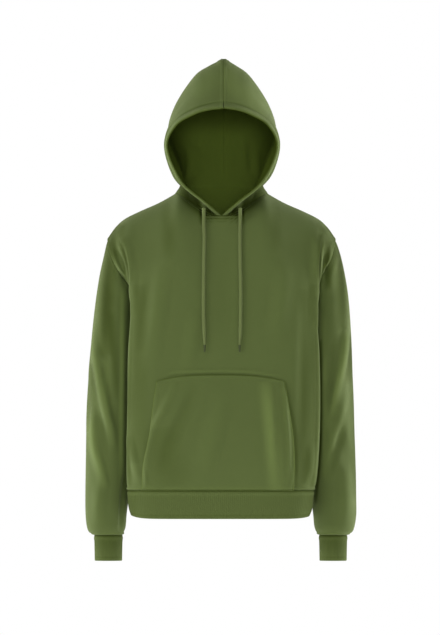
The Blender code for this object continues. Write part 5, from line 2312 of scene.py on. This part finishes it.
# Folds of the sleeves, with painted shadows and painted highlights among them.
SLEEVE_CREASES = {
    Side.RIGHT: SIDE_FOLDS[Side.RIGHT][1:] + SIDE_GAPS[Side.RIGHT] + TIP_SHADOWS[Side.RIGHT] + (
        front_fold(8.5, 11, (-280, -270), (-275, -322.6), (-266, -379.3), (-252, -453.4),
            (-239, -503.6), (-232, -550), steep=1.7, fade=0.6, shade=-0.16),
        front_fold(-3, 16, (-260, -290), (-252, -350), (-245, -410), (-230, -500), shade=-0.14),
        shadow(14, 0.22, (-238, -250), (-234, -340), (-230, -440)),
        shadow(8.5, -0.75, (-216, -180), (-216.5, -340), (-218, -480), (-218, -640), fade=0.6),
        shadow(11, 0.2, (-287, -365), (-286, -430), (-286, -500)),
        shadow(11, 0.34, (-282, -355), (-277, -400), (-271, -450), fade=0.5),
        shadow(8, -0.3, (-256, -390), (-252, -430), (-244, -470), fade=0.6),
        front_fold(9, 10, (-284, -460), (-273.5, -540.6), (-262, -583.6), (-249, -635), steep=2.3,
            fade=0.6, shade=-0.26),
        front_fold(-4, 12, (-273.8, -430), (-259, -508), (-248, -575)),
        front_fold(6, 22, (-262.7, -610), (-267.2, -671.4), (-267.4, -720)),
        front_fold(-6.5, 8, (-210.4, -600), (-215.8, -671.4), (-220.2, -730), fade=0.6),
        front_fold(-2.5, 5, (-223, -164), (-213, -176), (-204, -184)),
    ),
    Side.LEFT: SIDE_FOLDS[Side.LEFT][1:] + SIDE_GAPS[Side.LEFT] + TIP_SHADOWS[Side.LEFT] + (
        front_fold(9.5, 18, (272, -275), (263, -343.8), (253, -392.4), (238, -475), steep=0.6,
            fade=0.6, shade=-0.3),
        front_fold(-5, 14, (245, -300), (233, -390), (224, -460)),
        shadow(26, -0.16, (233, -350), (234, -450), (234, -620), steep=0.6),
        shadow(8, -0.26, (224.5, -260), (224, -350), (224, -480), (224, -620)),
        shadow(11, 0.42, (280, -285), (278, -340), (276, -410), fade=0.5),
        shadow(16, 0.4, (284, -300), (289, -400), (292, -560), (290, -660)),
        front_fold(6, 16, (271.4, -420), (254, -486), (233, -545)),
        front_fold(-5, 14, (268, -500), (247.4, -556), (230, -605)),
        front_fold(6.5, 24, (269.4, -580), (269.6, -660.5), (266.2, -720)),
        front_fold(3.5, 10, (251, -115), (243, -170)),
    ),
}

BACK_CREASES = (
    back_fold(6, 30, (-150, -140), (-142, -260), (-152, -400)),
    back_fold(5.5, 28, (145, -160), (153, -290), (140, -430)),
    back_fold(4.5, 30, (-60, -300), (-51, -430), (-72, -560)),
    back_fold(-4, 34, (50, -230), (62, -380), (54, -520)),
    back_fold(5, 22, (100, -440), (113, -540), (107, -628)),
    back_fold(5, 20, (-131, -470), (-119, -560), (-128, -630)),
    back_fold(-5, 20, (-186, -240), (-178, -400), (-183, -560)),
    back_fold(-5.5, 20, (184, -260), (180, -420), (185, -590)),
    back_fold(3.5, 18, (-205, -150), (-140, -188), (-75, -205)),
    back_fold(4, 16, (200, -165), (132, -208), (78, -222)),
    back_fold(2.5, 7, (-70, -588), (-68, -636)),
    back_fold(2.5, 8, (31, -580), (33, -636)),
    back_fold(2.5, 6, (152, -592), (150, -636)),
)

SLEEVE_BACK_CREASES = {
    Side.RIGHT: (
        back_fold(8.5, 16, (-277, -270), (-262, -350), (-238, -430)),
        back_fold(7.5, 15, (-286, -420), (-268, -500), (-245, -575)),
        back_fold(-4, 13, (-262, -340), (-243, -415)),
        back_fold(-3.5, 12, (-252, -520), (-236, -590)),
        back_fold(5, 20, (-256, -610), (-263, -670), (-260, -722)),
        right_fold(3.5, 13, (36, -235), (58, -258), (80, -262)),
        right_fold(3.5, 12, (34, -365), (52, -392), (72, -398)),
    ),
    Side.LEFT: (
        back_fold(8, 17, (274, -300), (258, -372), (232, -450)),
        back_fold(7.5, 14, (284, -455), (264, -530), (240, -600)),
        back_fold(-4, 12, (258, -390), (240, -455)),
        back_fold(5.5, 19, (257, -605), (264, -665), (259, -722)),
        left_fold(3.5, 12, (38, -215), (60, -240), (82, -246)),
        left_fold(3.5, 14, (36, -385), (54, -408), (74, -420)),
    ),
}

# Folds of the hood, with a painted highlight high on each half.
HOOD_CREASES = {
    Side.RIGHT: (
        right_fold(5, 14, (34, 26), (62, 62), (86, 108)),
        right_fold(-3.5, 12, (60, 38), (82, 70), (100, 112)),
        right_fold(3, 20, (40, 150), (66, 188), (78, 225)),
        back_fold(4, 18, (-55, 60), (-48, 105), (-34, 150)),
        shadow(36, -0.14, (-12, 275), (-34, 240), (-58, 215)),
    ),
    Side.LEFT: (
        left_fold(4.5, 15, (36, 30), (60, 72), (90, 116)),
        left_fold(-3.5, 11, (64, 44), (80, 80), (104, 118)),
        left_fold(3, 18, (36, 158), (60, 200), (70, 235)),
        back_fold(4.5, 16, (60, 56), (50, 100), (40, 142)),
        shadow(46, -0.42, (8, 285), (30, 240), (58, 215), (100, 175)),
    ),
}


# ---------------------------------------------------------------- the hoodie

def corners(box: tuple[Vector, Vector]) -> list[list[float]]:
    """A box's corners as plain lists."""
    return [list(corner) for corner in box]


@dataclass
class Hoodie:
    """Builds and dresses every piece in order."""

    twin_rows: Pair = (0.0035, 0.0085)
    edge_row: float = 0.0045
    hand_edge: float = 0.001
    casing_row: float = 0.019
    materials: dict[str, bpy.types.Material] = field(init=False)

    def __post_init__(self) -> None:
        """Make each finish's material once."""
        self.materials = {name: finish.material() for name, finish in FINISHES.items()}

    def dress(self, piece: bpy.types.Object, finish: str, slot: str,
              *nodes: str) -> bpy.types.Object:
        """Give a piece its finish and its place in the frame.

        Args:
            piece: the object.
            finish: its finish.
            slot: not used.
            nodes: the solids that it stands for.

        Returns:
            The same object.
        """
        piece.data.materials.clear()
        piece.data.materials.append(self.materials[finish])
        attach(piece, "root")
        if nodes:
            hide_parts(*nodes)
        LOG.info("%s: %d faces", piece.name, len(piece.data.polygons))
        return piece

    def sheet(self, cloth: Cloth, node: str, part: Any) -> None:
        """Make a cloth piece and give it its finish.

        Args:
            cloth: the piece.
            node: the solid that it stands for.
            part: what it was made from; a band takes the rib finish.
        """
        slot = "rib" if isinstance(part, Band) else "jersey"
        piece = self.dress(cloth.build(), slot, slot, node)

    def build(self) -> None:
        """Make the whole garment."""
        front = BodyPanel("front_jersey", front=True, shares=(0.0, 0.4, 0.7, 0.86, 1.0),
                          lean=(0.0, 0.34, 0.94), creases=FRONT_CREASES, flat=(0.67, 0.66),
                          area=0.4, fine=7, low_steps=12,
                          folds=(ShoulderFold(11.6, 1.3, 0.005), ShoulderFold(14.6, 1.4, -0.008)))
        back = BodyPanel("back_jersey", front=False, shares=(0.0, 0.4, 0.76, 1.0),
                         lean=(0.0, -0.36, 0.93), creases=BACK_CREASES, flat=(0.5, 0.68),
                         area=0.33)
        front_cloth, back_cloth = front.cloth(), back.cloth()
        for side in Side:
            self.drawcord(Drawcord(side, front_cloth.outer))
        self.sheet(front_cloth, "front_panel", front)
        self.sheet(back_cloth, "back_panel", back)
        pocket = Pocket(FRONT_CREASES + POCKET_CREASES)
        pocket_cloth = pocket.cloth()
        self.sheet(pocket_cloth, "pocket", pocket)
        hem = HemBand()
        self.sheet(hem.cloth(), "hem_band", hem)
        sleeves, hoods = {}, {}
        for side in Side:
            sleeve = Sleeve(side, SLEEVE_CREASES[side] + SLEEVE_BACK_CREASES[side])
            sleeves[side] = sleeve.cloth()
            self.sheet(sleeves[side], "sleeve_" + side.word, sleeve)
            cuff = Cuff(sleeve=sleeve)
            self.sheet(cuff.cloth(), "cuff_" + side.word, cuff)
            hood = HoodHalf(side, HOOD_CREASES[side])
            hoods[side] = hood.cloth()
            self.sheet(hoods[side], "hood_" + side.word, hood)
        self.sew(front_cloth, back_cloth, pocket_cloth, sleeves, hoods)

    def drawcord(self, cord: Drawcord) -> None:
        """Make a cord end and its tip.

        Args:
            cord: its form.
        """
        line = cord.centre()
        word = cord.side.word
        piece = cord.tube("drawcord_" + word, line, cord.radius(line[:, 2]))
        self.dress(piece, "cord", "cord", "cord_" + word)
        tip = cord.tube("drawcord_tip_" + word, *cord.tip_form(line[-1]))
        self.dress(tip, "cord_tip", "cord_tip", "cord_tip_" + word)

    def sew(self, front: Cloth, back: Cloth, pocket: Cloth, sleeves: dict[Side, Cloth],
            hoods: dict[Side, Cloth]) -> None:
        """Stitch every seam that shows, one piece for each part.

        Args:
            front: the front panel.
            back: the back panel.
            pocket: on the front.
            sleeves: both.
            hoods: both halves.
        """
        twin, edge = self.twin_rows, self.edge_row
        plan = {
            "front": [(front, Rim.BOTTOM, away) for away in twin] + [(front, Rim.TOP, edge)],
            "back": [(back, Rim.BOTTOM, away) for away in twin] + [(back, Rim.TOP, edge)],
            "pocket": [(pocket, rim, away + (0.0 if rim is Rim.TOP else self.hand_edge))
                       for away in twin for rim in (Rim.START, Rim.END, Rim.TOP)],
            "sleeves": [(cloth, Rim.BOTTOM, away) for away in twin for cloth in sleeves.values()],
            "hood": [(cloth, rim, away) for cloth in hoods.values() for rim, away in
                     ((Rim.START, self.casing_row), (Rim.TOP, edge), (Rim.END, edge))],
        }
        sewing = Sewing(self.materials["thread"])
        for word, found in plan.items():
            rows = [StitchRow(*cloth.line(rim, away)) for cloth, rim, away in found]
            self.dress(sewing.sew("stitches_" + word, rows), "thread", "jersey")


def main() -> None:
    """Build the scene in order."""
    logging.basicConfig(level=logging.INFO, format="%(name)s: %(message)s")
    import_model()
    studio = Studio()
    studio.camera()
    Hoodie().build()
    studio.build()


if __name__ == "__main__":
    main()
